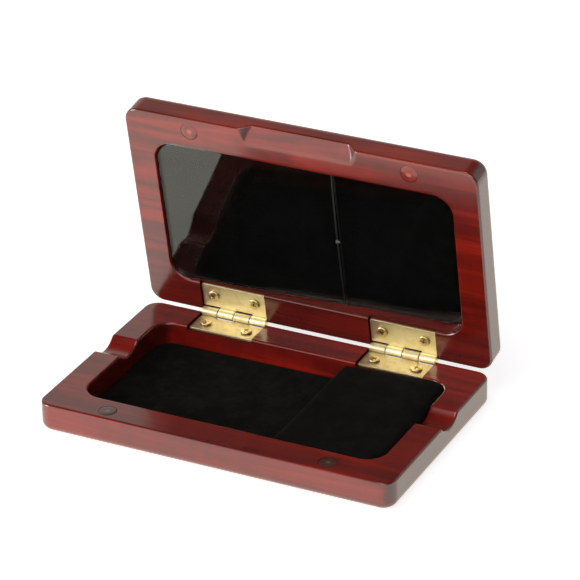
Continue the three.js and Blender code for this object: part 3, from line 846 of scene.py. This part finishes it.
def braid_tree():
    """Geometry nodes: two lobed cores, wound left and right along a path, make a braid's ribs."""
    takes = {
        "Path": ("NodeSocketGeometry", None),
        "Radius": ("NodeSocketFloat", ELASTIC_RADIUS * MM),
        "Rib height": ("NodeSocketFloat", BRAID_RIB),
        "Pitch": ("NodeSocketFloat", BRAID_PITCH * MM),
        "Step": ("NodeSocketFloat", BRAID_STEP * MM),
        "Finish": ("NodeSocketMaterial", None),
    }
    tree, given, result = new_group("Braided cord", "GeometryNodeTree", takes, {"Cord": "NodeSocketGeometry"})
    line = put(tree, "GeometryNodeMeshToCurve", {"Mesh": given["Path"]}).outputs["Curve"]
    line = put(
        tree, "GeometryNodeResampleCurve", {"Curve": line, "Length": given["Step"]}, mode="LENGTH"
    ).outputs["Curve"]
    wires = {"Resolution": BRAID_SIDES, "Radius": given["Radius"]}
    ring = put(tree, "GeometryNodeCurvePrimitiveCircle", wires)
    number = put(tree, "GeometryNodeInputIndex").outputs["Index"]
    turn = reckoned(tree, "MULTIPLY", number, tau * BRAID_LOBES / BRAID_SIDES)
    reach = reckoned(tree, "MULTIPLY_ADD", reckoned(tree, "COSINE", turn), given["Rib height"], 1.0)
    spot = put(tree, "GeometryNodeInputPosition").outputs["Position"]
    lobed = put(tree, "ShaderNodeVectorMath", {0: spot, "Scale": reach}, operation="SCALE").outputs["Vector"]
    wires = {"Geometry": ring.outputs["Curve"], "Position": lobed}
    section = put(tree, "GeometryNodeSetPosition", wires).outputs["Geometry"]
    travelled = put(tree, "GeometryNodeSplineParameter").outputs["Length"]
    turns = reckoned(tree, "DIVIDE", travelled, given["Pitch"])
    joined = put(tree, "GeometryNodeJoinGeometry")
    for way in (-tau, tau):
        tilt = reckoned(tree, "MULTIPLY", turns, way)
        wound = put(tree, "GeometryNodeSetCurveTilt", {"Curve": line, "Tilt": tilt}).outputs["Curve"]
        wires = {"Curve": wound, "Profile Curve": section, "Fill Caps": True}
        core = put(tree, "GeometryNodeCurveToMesh", wires).outputs["Mesh"]
        tree.links.new(core, joined.inputs["Geometry"])
    whole = put(tree, "GeometryNodeRealizeInstances", {"Geometry": joined.outputs["Geometry"]})
    wires = {"Geometry": whole.outputs["Geometry"], "Material": given["Finish"]}
    dressed = put(tree, "GeometryNodeSetMaterial", wires).outputs["Geometry"]
    tree.links.new(dressed, result.inputs["Cord"])
    return tree


def grow(piece, tree, **values):
    """Runs a geometry nodes tree on a piece, its inputs given by name, and keeps the mesh."""
    growth = piece.modifiers.new("growth", "NODES")
    growth.node_group = tree
    for label, value in values.items():
        socket = tree.interface.items_tree[label.replace("_", " ").capitalize()]
        growth[socket.identifier] = value
    piece.update_tag()
    settle(piece)


def braided_yarn(name, hollow, crest):
    """Waxed yarn, a little lighter in some threads than in others."""
    material, tree, shader = new_material(name)
    yarn = speckle(tree, own_place(tree), 2400, 3)
    wire_up(tree, shader, {
        "Base Color": mixed(tree, spread(tree, yarn, 0.35, 0.7), hollow, crest),
        "Roughness": spread(tree, yarn, 0.3, 0.7, 0.4, 0.26),
    })
    return material


BRAIDED_CORD = braid_tree()
elastic_yarn = braided_yarn("black elastic", paint(12, 12, 11), paint(34, 33, 31))
elastic = path_piece("elastic", elastic_path())
grow(elastic, BRAIDED_CORD, finish=elastic_yarn)
lean(elastic)
turn_open(elastic)
smooth_off(elastic, 60)
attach(elastic, "lid")
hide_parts("elastic_cord")

# Knot. The two ends of the elastic tied together in an overhand knot, pulled tight, and trimmed to
# short tails. It lies on the front of the glass near the middle.
KNOT_STEPS = 72
KNOT_WIDTH = 0.15
KNOT_LENGTH = 0.23
KNOT_RISE = 0.16
KNOT_CORD_RADIUS = 0.2
KNOT_OVER_GLASS = 0.5
TAIL_LENGTH = 0.9
TAIL_DRIFTS_AND_RISES = ((0.35, 0.05), (-0.3, -0.12))


def knot_paths():
    middle = Vector((elastic_x(KNOT_Y), KNOT_Y, GLASS_FACE - KNOT_OVER_GLASS))
    loop = []
    for step in range(KNOT_STEPS + 1):
        t = step / KNOT_STEPS * tau
        x = KNOT_WIDTH * (sin(t) + 2 * sin(2 * t))
        y = KNOT_LENGTH * (cos(t) - 2 * cos(2 * t))
        loop.append(middle + Vector((x, y, -KNOT_RISE * sin(3 * t))))
    tails = []
    for drift, rise in TAIL_DRIFTS_AND_RISES:
        tails.append([middle + Vector((TAIL_LENGTH * s, drift * s, rise * s)) for s in (0.2, 0.5, 0.8, 1)])
    return loop, *tails


# The knot's yarn is the black elastic painted several times lighter: a painted highlight where the knot
# catches the light.
lit_knot_yarn = braided_yarn("frayed elastic", paint(60, 59, 56), paint(138, 136, 130))
knot = path_piece("elastic_knot", *knot_paths())
grow(knot, BRAIDED_CORD, radius=KNOT_CORD_RADIUS * MM, finish=lit_knot_yarn)
lean(knot)
turn_open(knot)
smooth_off(knot, 60)
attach(knot, "lid")
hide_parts("cord_knot")

# Magnets. Four discs pressed into bores in the front rims and lacquered over, two in the tray and two
# in the lid. They face each other and hold the case shut.
MAGNET_EDGE = 0.18
MAGNET_DOME = 0.14
MAGNET_DIMPLE = 0.06
DIMPLE_REACH = 0.2
MAGNET_SIDES = 64


def at_points_tree():
    """Geometry nodes: a fitting at each point, turned about its own axis by chance, with a finish."""
    takes = {
        "Points": ("NodeSocketGeometry", None),
        "Fitting": ("NodeSocketObject", None),
        "Most turn": ("NodeSocketFloat", 0.0),
        "Seed": ("NodeSocketInt", 3),
        "Finish": ("NodeSocketMaterial", None),
    }
    gives = {"Set": "NodeSocketGeometry"}
    tree, given, result = new_group("Fittings at points", "GeometryNodeTree", takes, gives)
    fitting = put(tree, "GeometryNodeObjectInfo", {"Object": given["Fitting"]}, transform_space="ORIGINAL")
    chance = put(tree, "FunctionNodeRandomValue", data_type="FLOAT")
    tree.links.new(given["Most turn"], chance.inputs[3])
    tree.links.new(given["Seed"], chance.inputs["Seed"])
    turn = put(tree, "ShaderNodeCombineXYZ", {"Z": chance.outputs[1]}).outputs["Vector"]
    wires = {"Points": given["Points"], "Instance": fitting.outputs["Geometry"], "Rotation": turn}
    placed = put(tree, "GeometryNodeInstanceOnPoints", wires).outputs["Instances"]
    whole = put(tree, "GeometryNodeRealizeInstances", {"Geometry": placed}).outputs["Geometry"]
    dressed = put(tree, "GeometryNodeSetMaterial", {"Geometry": whole, "Material": given["Finish"]})
    tree.links.new(dressed.outputs["Geometry"], result.inputs["Set"])
    return tree


FITTINGS_AT_POINTS = at_points_tree()


def magnet_disc():
    profile = [(0, -MAGNET_THICKNESS), (MAGNET_RADIUS, -MAGNET_THICKNESS), (MAGNET_RADIUS, -MAGNET_EDGE)]
    for s, c in quarter(EDGE_STEPS, 1)[:-1]:
        profile.append((MAGNET_RADIUS - MAGNET_EDGE * (1 - c), -MAGNET_EDGE * (1 - s)))
    flat = MAGNET_RADIUS - MAGNET_EDGE
    for step in range(2 * EDGE_STEPS + 1):
        share = 1 - step / (2 * EDGE_STEPS)
        dimple = MAGNET_DIMPLE * exp(-((share / DIMPLE_REACH) ** 2))
        profile.append((flat * share, MAGNET_DOME * (1 - share**4) - dimple))
    return turned_shape(profile, MAGNET_SIDES)


def lacquered_disc(name, body, dull, middle, edge):
    """A magnet under lacquer: clouded here and there, with a painted glint lighter in its dimple, stained
    over at its edge.
    """
    material, tree, shader = new_material(name)
    place = own_place(tree)
    clouds = speckle(tree, place, 620, 2)
    color = mixed(tree, spread(tree, clouds, 0.4, 0.7), body, dull)
    across = put(tree, "ShaderNodeAttribute", attribute_name="across").outputs["Fac"]
    # Painted glint: the lighter middle colour, laid in the dimple.
    color = mixed(tree, spread(tree, across, 0.12, 0.42), middle, color)
    color = mixed(tree, spread(tree, across, 0.72, 1.0, 0.0, 0.85), color, edge)
    wire_up(tree, shader, {
        "Base Color": color,
        "Normal": dented(tree, speckle(tree, place, 420, 1), 0.5, 0.0003),
        "Roughness": 0.5,
        "Coat Weight": 1,
        "Coat Roughness": 0.1,
        "Coat IOR": 1.52,
    })
    return material


def handled_metal_group():
    """Handling on polished metal: fine drawn lines, a few dull patches, and tarnish gathered in them, with a
    dark painted shade laid where a point attribute marks it.
    """
    takes = {
        "Metal": ("NodeSocketColor", (0.8, 0.8, 0.8, 1)),
        "Tarnish": ("NodeSocketColor", (0.3, 0.3, 0.3, 1)),
        "Tarnish share": ("NodeSocketFloat", 0.3),
        "Polish": ("NodeSocketFloat", 0.15),
        "Grime": ("NodeSocketColor", paint(104, 74, 36)),
    }
    gives = {"Color": "NodeSocketColor", "Roughness": "NodeSocketFloat", "Height": "NodeSocketFloat"}
    tree, given, result = new_group("Handled metal", "ShaderNodeTree", takes, gives)
    place = own_place(tree)
    lines = speckle(tree, drawn_out(tree, place, 1, 0.05, 0.05), 7000, 2)
    patch = spread(tree, speckle(tree, place, 420, 4), 0.45, 0.75)
    share = reckoned(tree, "MULTIPLY", patch, given["Tarnish share"])
    color = mixed(tree, share, given["Metal"], given["Tarnish"])
    # Painted shade colour, laid on where a point attribute marks it.
    grime = put(tree, "ShaderNodeAttribute", attribute_name="grime").outputs["Fac"]
    color = mixed(tree, grime, color, given["Grime"])
    rough = reckoned(tree, "MULTIPLY_ADD", patch, 0.12, given["Polish"])
    wire_up(tree, result, {"Color": color, "Roughness": rough, "Height": lines})
    return tree


HANDLED_METAL = handled_metal_group()


def polished_metal(name, metal, tarnish, tarnish_share, polish, line_depth, coat=0.0):
    material, tree, shader = new_material(name)
    wires = {"Metal": metal, "Tarnish": tarnish, "Tarnish share": tarnish_share, "Polish": polish}
    handled = put(tree, "ShaderNodeGroup", wires, node_tree=HANDLED_METAL).outputs
    wire_up(tree, shader, {
        "Base Color": handled["Color"],
        "Roughness": handled["Roughness"],
        "Normal": dented(tree, handled["Height"], line_depth, 0.00002),
        "Metallic": 1,
        "Coat Weight": coat,
    })
    return material


def points_piece(name, *spots):
    return new_piece(name, (spots, []))


# The third colour of each magnet is a painted glint at its middle.
tray_plate = lacquered_disc(
    "tray magnet", paint(60, 24, 17), paint(78, 38, 28), paint(116, 84, 68), paint(90, 18, 12)
)
lid_plate = lacquered_disc(
    "lid magnet", paint(138, 42, 30), paint(108, 32, 23), paint(206, 90, 62), paint(142, 34, 20)
)
disc = new_piece("disc", magnet_disc())
across = disc.data.attributes.new("across", "FLOAT", "POINT")
across.data.foreach_set("value", [vert.co.xy.length / (MAGNET_RADIUS * MM) for vert in disc.data.vertices])
magnet_spots = [(x, MAGNET_Y, TRAY_HEIGHT - MAGNET_SINK) for x in (-MAGNET_OFFSET, MAGNET_OFFSET)]
tray_magnets = points_piece("tray_magnets", *magnet_spots)
grow(tray_magnets, FITTINGS_AT_POINTS, fitting=disc, finish=tray_plate)
smooth_off(tray_magnets)
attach(tray_magnets, "base")
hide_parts("base_magnet_left", "base_magnet_right")


def face_down(piece):
    """Turns a fitting of the tray over, about the line where the two halves meet, to be the lid's own."""
    change_about(piece, (0, 0, AXIS_Z), Matrix.Scale(-1, 4, (0, 0, 1)))
    piece.data.flip_normals()


lid_magnets = points_piece("lid_magnets", *magnet_spots)
grow(lid_magnets, FITTINGS_AT_POINTS, fitting=disc, finish=lid_plate)
face_down(lid_magnets)
turn_open(lid_magnets)
smooth_off(lid_magnets)
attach(lid_magnets, "lid")
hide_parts("lid_magnet_left", "lid_magnet_right")
bpy.data.objects.remove(disc)

# Hinge leaves. Each is one piece of brass sheet, cut with two tongues that are rolled round the pin
# into knuckles. A leaf of each hinge is let into the tray and the other into the lid.
KNUCKLE_COUNT = 4
KNUCKLE_SLIT = 0.3
LEAF_FRONT = 29.07
LEAF_BACK = 38.2
LEAF_CORNER = 0.6
LEAF_EDGE = 0.13
ROLL_END_DEGREES = 214
ROLL_STEPS = 44
LEAF_RISE = 0.14
SHEET_STEPS = 8


def leaf_line():
    """The middle of the sheet seen from its end, as (y, z): flat, then rolled round the pin."""
    middle_z = AXIS_Z - (LEAF_SINK + LEAF_THICKNESS / 2 + HALF_GAP)
    radius = KNUCKLE_RADIUS - LEAF_THICKNESS / 2
    line = []
    for step in range(SHEET_STEPS + 1):
        line.append((LEAF_FRONT + (LEAF_BACK - LEAF_FRONT) * step / SHEET_STEPS, middle_z))
    tongue = len(line) - 1
    for step in range(1, SHEET_STEPS):
        share = step / SHEET_STEPS
        eased = share * share * (3 - 2 * share)
        line.append((LEAF_BACK + (AXIS_Y - LEAF_BACK) * share, middle_z + LEAF_RISE * eased))
    for step in range(ROLL_STEPS + 1):
        angle = radians(-90 + (ROLL_END_DEGREES + 90) * step / ROLL_STEPS)
        line.append((AXIS_Y + radius * cos(angle), AXIS_Z + radius * sin(angle)))
    return line, tongue


def leaf_sheet(centre, own):
    """The sheet's middle surface: a flat leaf, and a rolled tongue at each knuckle that is its own."""
    line, tongue = leaf_line()
    length = (HINGE_LENGTH - KNUCKLE_SLIT * (KNUCKLE_COUNT - 1)) / KNUCKLE_COUNT
    edges, rolled = [], []
    for index in range(KNUCKLE_COUNT):
        start = centre - HINGE_LENGTH / 2 + index * (length + KNUCKLE_SLIT)
        edges += [start, start + length]
        rolled += [index % 2 == own, False]
    points = [(x, y, z) for x in edges for y, z in line]
    faces = []
    for column in range(len(edges) - 1):
        a, b = column * len(line), (column + 1) * len(line)
        last = len(line) - 1 if rolled[column] else tongue
        faces += [(a + i, b + i, b + i + 1, a + i + 1) for i in range(last)]
    used = sorted({corner for face in faces for corner in face})
    number = {old: new for new, old in enumerate(used)}
    return [points[old] for old in used], [[number[corner] for corner in face] for face in faces]


def leaf_piece(name, centre, own, material):
    piece = new_piece(name, leaf_sheet(centre, own), material)
    shape = bmesh.new()
    shape.from_mesh(piece.data)
    front = min(vert.co.y for vert in shape.verts)
    corners = [vert for vert in shape.verts if vert.co.y < front + MM / 100 and len(vert.link_faces) == 1]
    bmesh.ops.bevel(shape, geom=corners, offset=LEAF_CORNER * MM, segments=6, profile=0.5, affect="VERTICES")
    shape.to_mesh(piece.data)
    shape.free()
    sheet = piece.modifiers.new("sheet", "SOLIDIFY")
    sheet.thickness = LEAF_THICKNESS * MM
    sheet.offset = 0
    sheet.use_even_offset = True
    eased = piece.modifiers.new("eased", "BEVEL")
    eased.width = LEAF_EDGE * MM
    eased.segments = 3
    eased.limit_method = "ANGLE"
    eased.angle_limit = radians(50)
    settle(piece)
    return piece


# The lid's leaf is the same brass as the tray's, painted paler and brighter: painted light.
leaf_brass = {
    "base": polished_metal("tray leaf brass", paint(228, 214, 176), paint(212, 188, 136), 0.6, 0.43, 0.6),
    "lid": polished_metal("lid leaf brass", paint(255, 244, 202), paint(242, 218, 158), 0.6, 0.4, 0.6),
}
knuckle_order = {"base": 0, "lid": 1}
for hand, centre in zip(("left", "right"), HINGE_CENTRES):
    for body, own in knuckle_order.items():
        leaf = leaf_piece(f"{hand}_{body}_leaf", centre, own, leaf_brass[body])
        if body == "lid":
            face_down(leaf)
            turn_open(leaf)
        smooth_off(leaf)
        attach(leaf, body)
        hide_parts(f"hinge_{hand}_{body}_leaf")

# Hinge pins. A brass wire through the four knuckles of each hinge, with its ends peened over into
# low domes. It stays still with the tray's leaf.
PIN_RADIUS = 0.78
PIN_HALF_LENGTH = 12.0
PIN_DOME = 0.18

pin_brass = polished_metal("pin brass", paint(240, 218, 160), paint(150, 118, 70), 0.5, 0.3, 0.4)
for hand, centre in zip(("left", "right"), HINGE_CENTRES):
    profile = [(0, -PIN_HALF_LENGTH - PIN_DOME)]
    for s, c in quarter(EDGE_STEPS, 1):
        profile.append((PIN_RADIUS * s, -PIN_HALF_LENGTH - PIN_DOME * c))
    profile += [(radius, -height) for radius, height in reversed(profile)]
    wire = moved(turned_shape(profile, 40), (centre, AXIS_Y, AXIS_Z), turn=ALONG_X)
    pin = new_piece(f"{hand}_pin", wire, pin_brass)
    smooth_off(pin)
    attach(pin, "base")
    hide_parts(f"hinge_{hand}_pin")

# Hinge screws. Raised-head brass wood screws with a cross recess, two in each leaf, driven home by
# hand, so that no two crosses stand alike.
HEAD_RADIUS = 1.95
HEAD_UNDERCUT = 0.26
HEAD_WALL = 0.5
HEAD_SHOULDER = 0.24
HEAD_HEIGHT = 0.92
HEAD_SINK = 0.02
SHOULDER_STEPS = 4
SHANK_RADIUS = 0.8
SCREW_LENGTH = 5.2
SCREW_POINT = 1.2
CROSS_LENGTH = 1.25
CROSS_WIDTH = 0.3
CROSS_DEPTH = 0.62
CROSS_OVER = 0.3
CROSS_AT_FLOOR = 0.55
CROSS_AT_MOUTH = 1.2
HEAD_SIDES = 56
DOME_STEPS = 12
SCREW_SEED = 11
# How dark the painted shade lies in the cross recess and round the foot of the head, and how far up it fades
# out.
PAINTED_SHADE_IN_CROSS = 0.9
PAINTED_SHADE_AT_FOOT = 0.85
PAINTED_SHADE_FADES = 0.3


def screw_shape():
    profile = [(0, -SCREW_LENGTH), (SHANK_RADIUS, SCREW_POINT - SCREW_LENGTH)]
    profile += [(SHANK_RADIUS, -HEAD_SINK), (HEAD_RADIUS - HEAD_UNDERCUT, -HEAD_SINK)]
    profile.append((HEAD_RADIUS, HEAD_UNDERCUT))
    for s, c in quarter(SHOULDER_STEPS):
        profile.append((HEAD_RADIUS - HEAD_SHOULDER * (1 - c), HEAD_WALL + HEAD_SHOULDER * s))
    top_radius, top_start = profile[-1]
    for step in range(1, DOME_STEPS):
        share = 1 - step / DOME_STEPS
        profile.append((top_radius * share, top_start + (HEAD_HEIGHT - top_start) * (1 - share**2)))
    return turned_shape([*profile, (0, HEAD_HEIGHT)], HEAD_SIDES)


def cross_wing():
    """One bar of the recess, narrower and shorter at its floor than at its mouth."""
    points = []
    floor, mouth = HEAD_HEIGHT - CROSS_DEPTH, HEAD_HEIGHT + CROSS_OVER
    for z, grow_out in ((floor, CROSS_AT_FLOOR), (mouth, CROSS_AT_MOUTH)):
        x, y = CROSS_LENGTH * grow_out, CROSS_WIDTH * grow_out
        points += [(-x, -y, z), (x, -y, z), (-x, y, z), (x, y, z)]
    return points, block((0, 0, 0), (1, 1, 1))[1]


def painted_shade_share(spot):
    """How much painted shade darkens a point of a screw: in the cross and round the foot of the head."""
    across = spot.xy.length
    if across < HEAD_RADIUS - HEAD_SHOULDER - 0.1:
        return PAINTED_SHADE_IN_CROSS if spot.z < HEAD_WALL + HEAD_SHOULDER - 0.03 else 0.0
    return PAINTED_SHADE_AT_FOOT * max(0, min(1, (HEAD_WALL + 0.12 - spot.z) / PAINTED_SHADE_FADES))


screw = new_piece("screw", screw_shape())
for quarter in (0, pi / 2):
    cut_from(screw, moved(cross_wing(), (0, 0, 0), turn=Matrix.Rotation(quarter, 3, "Z")))
# Painted shade in the cross recess and round the foot of the head, where shade falls.
grime = screw.data.attributes.new("grime", "FLOAT", "POINT")
grime.data.foreach_set("value", [painted_shade_share(vert.co / MM) for vert in screw.data.vertices])
screw_spots = []
for centre in HINGE_CENTRES:
    for offset in (-SCREW_OFFSET, SCREW_OFFSET):
        screw_spots.append((centre + offset, SCREW_Y, AXIS_Z - LEAF_SINK - HALF_GAP))
screw_brass = polished_metal("screw brass", paint(246, 226, 170), paint(190, 152, 92), 0.5, 0.3, 0.3)
for body in ("base", "lid"):
    screws = points_piece(f"{body}_screws", *screw_spots)
    seed = SCREW_SEED + (body == "lid")
    grow(screws, FITTINGS_AT_POINTS, fitting=screw, most_turn=pi, seed=seed, finish=screw_brass)
    if body == "lid":
        face_down(screws)
        turn_open(screws)
    smooth_off(screws, 25)
    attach(screws, body)
    places = [(hand, number) for hand in ("left", "right") for number in (1, 2)]
    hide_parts(*[f"hinge_{hand}_{body}_screw_{number}" for hand, number in places])
bpy.data.objects.remove(screw)

# Studio. A long-lens camera a little above the case, a pale floor that runs to white, a soft sky, and
# three large soft lamps.
CAMERA_TARGET = Vector((-0.021376, 0.061658, 0.0128))
CAMERA_DISTANCE = 1.1605
CAMERA_AZIMUTH = radians(26.8935)
CAMERA_ELEVATION = radians(27.4388)
CAMERA_ROLL = radians(-1.1709)
CAMERA_LENS = 208.493
FLOOR_SIZE = 8.0
FLOOR_SEEN = 0.68
FLOOR_MIRRORED = 0.95
SKY_LIGHT_LOW = 0.56
SKY_LIGHT_HIGH = 0.12
SWEEP_WHITE_TO = 0.5
SWEEP_DARK_FROM = 0.85
SWEEP_STRENGTH = 0.68
SCREEN_FROM = -0.05
SCREEN_FULL = 0.03
SCREEN_FADES = 0.46
SCREEN_TO = 0.66
SCREEN_STRENGTH = 1.35
SKY_ELSEWHERE = 0.03
DIM_RIGHTWARD = (0.085, 0.11)
DIM_FORWARD = (-0.03, -0.06)
SWEEP_BEHIND = (-0.15, 0.35)
SCREEN_BEFORE = (-0.5, -0.2)
SCREEN_LEFTWARD = (0.1, 0.5)
MIRRORED_WHITE = (1, 0.955, 0.87, 1)
MIRRORED_GLOW = (1, 0.93, 0.79, 1)
PURE_WHITE = (1, 1, 1, 1)

back = Vector((
    sin(CAMERA_AZIMUTH) * cos(CAMERA_ELEVATION),
    -cos(CAMERA_AZIMUTH) * cos(CAMERA_ELEVATION),
    sin(CAMERA_ELEVATION),
))
right = Vector((0, 0, 1)).cross(back).normalized()
up = back.cross(right)
rolled_right = cos(CAMERA_ROLL) * right + sin(CAMERA_ROLL) * up
rolled_up = cos(CAMERA_ROLL) * up - sin(CAMERA_ROLL) * right
camera = new_object("camera", bpy.data.cameras.new("camera"))
camera.data.sensor_width = 36
camera.data.lens = CAMERA_LENS
place = Matrix((rolled_right, rolled_up, back)).transposed().to_4x4()
place.translation = CAMERA_TARGET + back * CAMERA_DISTANCE
camera.matrix_world = place
bpy.context.scene.camera = camera

floor_paint = bpy.data.materials.new("floor paint")
floor_paint.use_nodes = True
tree = floor_paint.node_tree
tree.nodes.clear()
rays = put(tree, "ShaderNodeLightPath").outputs
spot = own_place(tree)
ways = parts_of(tree, spot)
dim = spread(tree, ways["X"], *DIM_RIGHTWARD)
shade = reckoned(tree, "MULTIPLY", dim, spread(tree, ways["Y"], *DIM_FORWARD))
strength = spread(tree, shade, 0.0, 1.0, FLOOR_MIRRORED, SKY_ELSEWHERE)
mirror = reckoned(tree, "MAXIMUM", rays["Is Glossy Ray"], rays["Is Transmission Ray"])
mirror = reckoned(tree, "MULTIPLY", mirror, strength)
wires = {0: rays["Is Camera Ray"], 2: mirror, 3: FLOOR_SEEN}
glow = put(tree, "ShaderNodeMix", wires, data_type="FLOAT").outputs[0]
cloud = put(tree, "ShaderNodeTexNoise", {"Vector": spot, "Scale": 3})
tint = mixed(tree, cloud.outputs["Fac"], (0.86, 0.86, 0.86, 1), (0.9, 0.9, 0.9, 1))
matt = put(tree, "ShaderNodeBsdfDiffuse", {"Color": tint}).outputs["BSDF"]
glow_color = mixed(tree, rays["Is Camera Ray"], MIRRORED_GLOW, PURE_WHITE)
light = put(tree, "ShaderNodeEmission", {"Color": glow_color, "Strength": glow}).outputs["Emission"]
both = put(tree, "ShaderNodeAddShader", {0: matt, 1: light}).outputs["Shader"]
put(tree, "ShaderNodeOutputMaterial", {"Surface": both})
half = FLOOR_SIZE / MM / 2
floor_corners = [(-half, -half, 0), (half, -half, 0), (half, half, 0), (-half, half, 0)]
floor = new_piece("floor", (floor_corners, [(0, 1, 2, 3)]), floor_paint)

world = bpy.data.worlds.new("studio")
world.use_nodes = True
bpy.context.scene.world = world
tree = world.node_tree
tree.nodes.clear()
rays = put(tree, "ShaderNodeLightPath").outputs
seen = reckoned(tree, "MAXIMUM", rays["Is Camera Ray"], rays["Is Glossy Ray"])
seen = reckoned(tree, "MAXIMUM", seen, rays["Is Transmission Ray"])
way = parts_of(tree, own_place(tree, "Generated"))
sweep = spread(tree, way["Z"], SWEEP_WHITE_TO, SWEEP_DARK_FROM, 1.0, 0.0)
for share in (spread(tree, way["Y"], *SWEEP_BEHIND), SWEEP_STRENGTH):
    sweep = reckoned(tree, "MULTIPLY", sweep, share)
screen = spread(tree, way["Z"], SCREEN_FROM, SCREEN_FULL)
for share in (
    spread(tree, way["Z"], SCREEN_FADES, SCREEN_TO, 1.0, 0.0),
    spread(tree, way["Y"], *SCREEN_BEFORE, 1.0, 0.0),
    spread(tree, way["X"], *SCREEN_LEFTWARD, 1.0, 0.0),
    SCREEN_STRENGTH,
):
    screen = reckoned(tree, "MULTIPLY", screen, share)
mirrored = reckoned(tree, "MAXIMUM", sweep, screen)
for least in (SKY_ELSEWHERE, rays["Is Camera Ray"]):
    mirrored = reckoned(tree, "MAXIMUM", mirrored, least)
lit = spread(tree, way["Z"], 0.0, 1.0, SKY_LIGHT_LOW, SKY_LIGHT_HIGH)
strength = put(tree, "ShaderNodeMix", {0: seen, 2: lit, 3: mirrored}, data_type="FLOAT").outputs[0]
sky_color = mixed(tree, rays["Is Glossy Ray"], PURE_WHITE, MIRRORED_WHITE)
sky = put(tree, "ShaderNodeBackground", {"Color": sky_color, "Strength": strength})
put(tree, "ShaderNodeOutputWorld", {"Surface": sky.outputs["Background"]})


def soft_lamp(name, spot, size, power):
    lamp = bpy.data.lights.new(name, "AREA")
    lamp.shape = "RECTANGLE"
    lamp.size, lamp.size_y = size
    lamp.energy = power
    holder = new_object(name, lamp)
    holder.location = spot
    holder.rotation_euler = (-Vector(spot)).to_track_quat("-Z", "Y").to_euler()


soft_lamp("left lamp", (-1.5, -1.2, 0.55), (0.8, 0.8), 20)
soft_lamp("right lamp", (0.9, -1.6, 0.9), (1.0, 1.0), 8)
soft_lamp("top lamp", (-0.1, -0.75, 1.55), (0.8, 0.8), 5)

view_settings = bpy.context.scene.view_settings
view_settings.view_transform = "Standard"
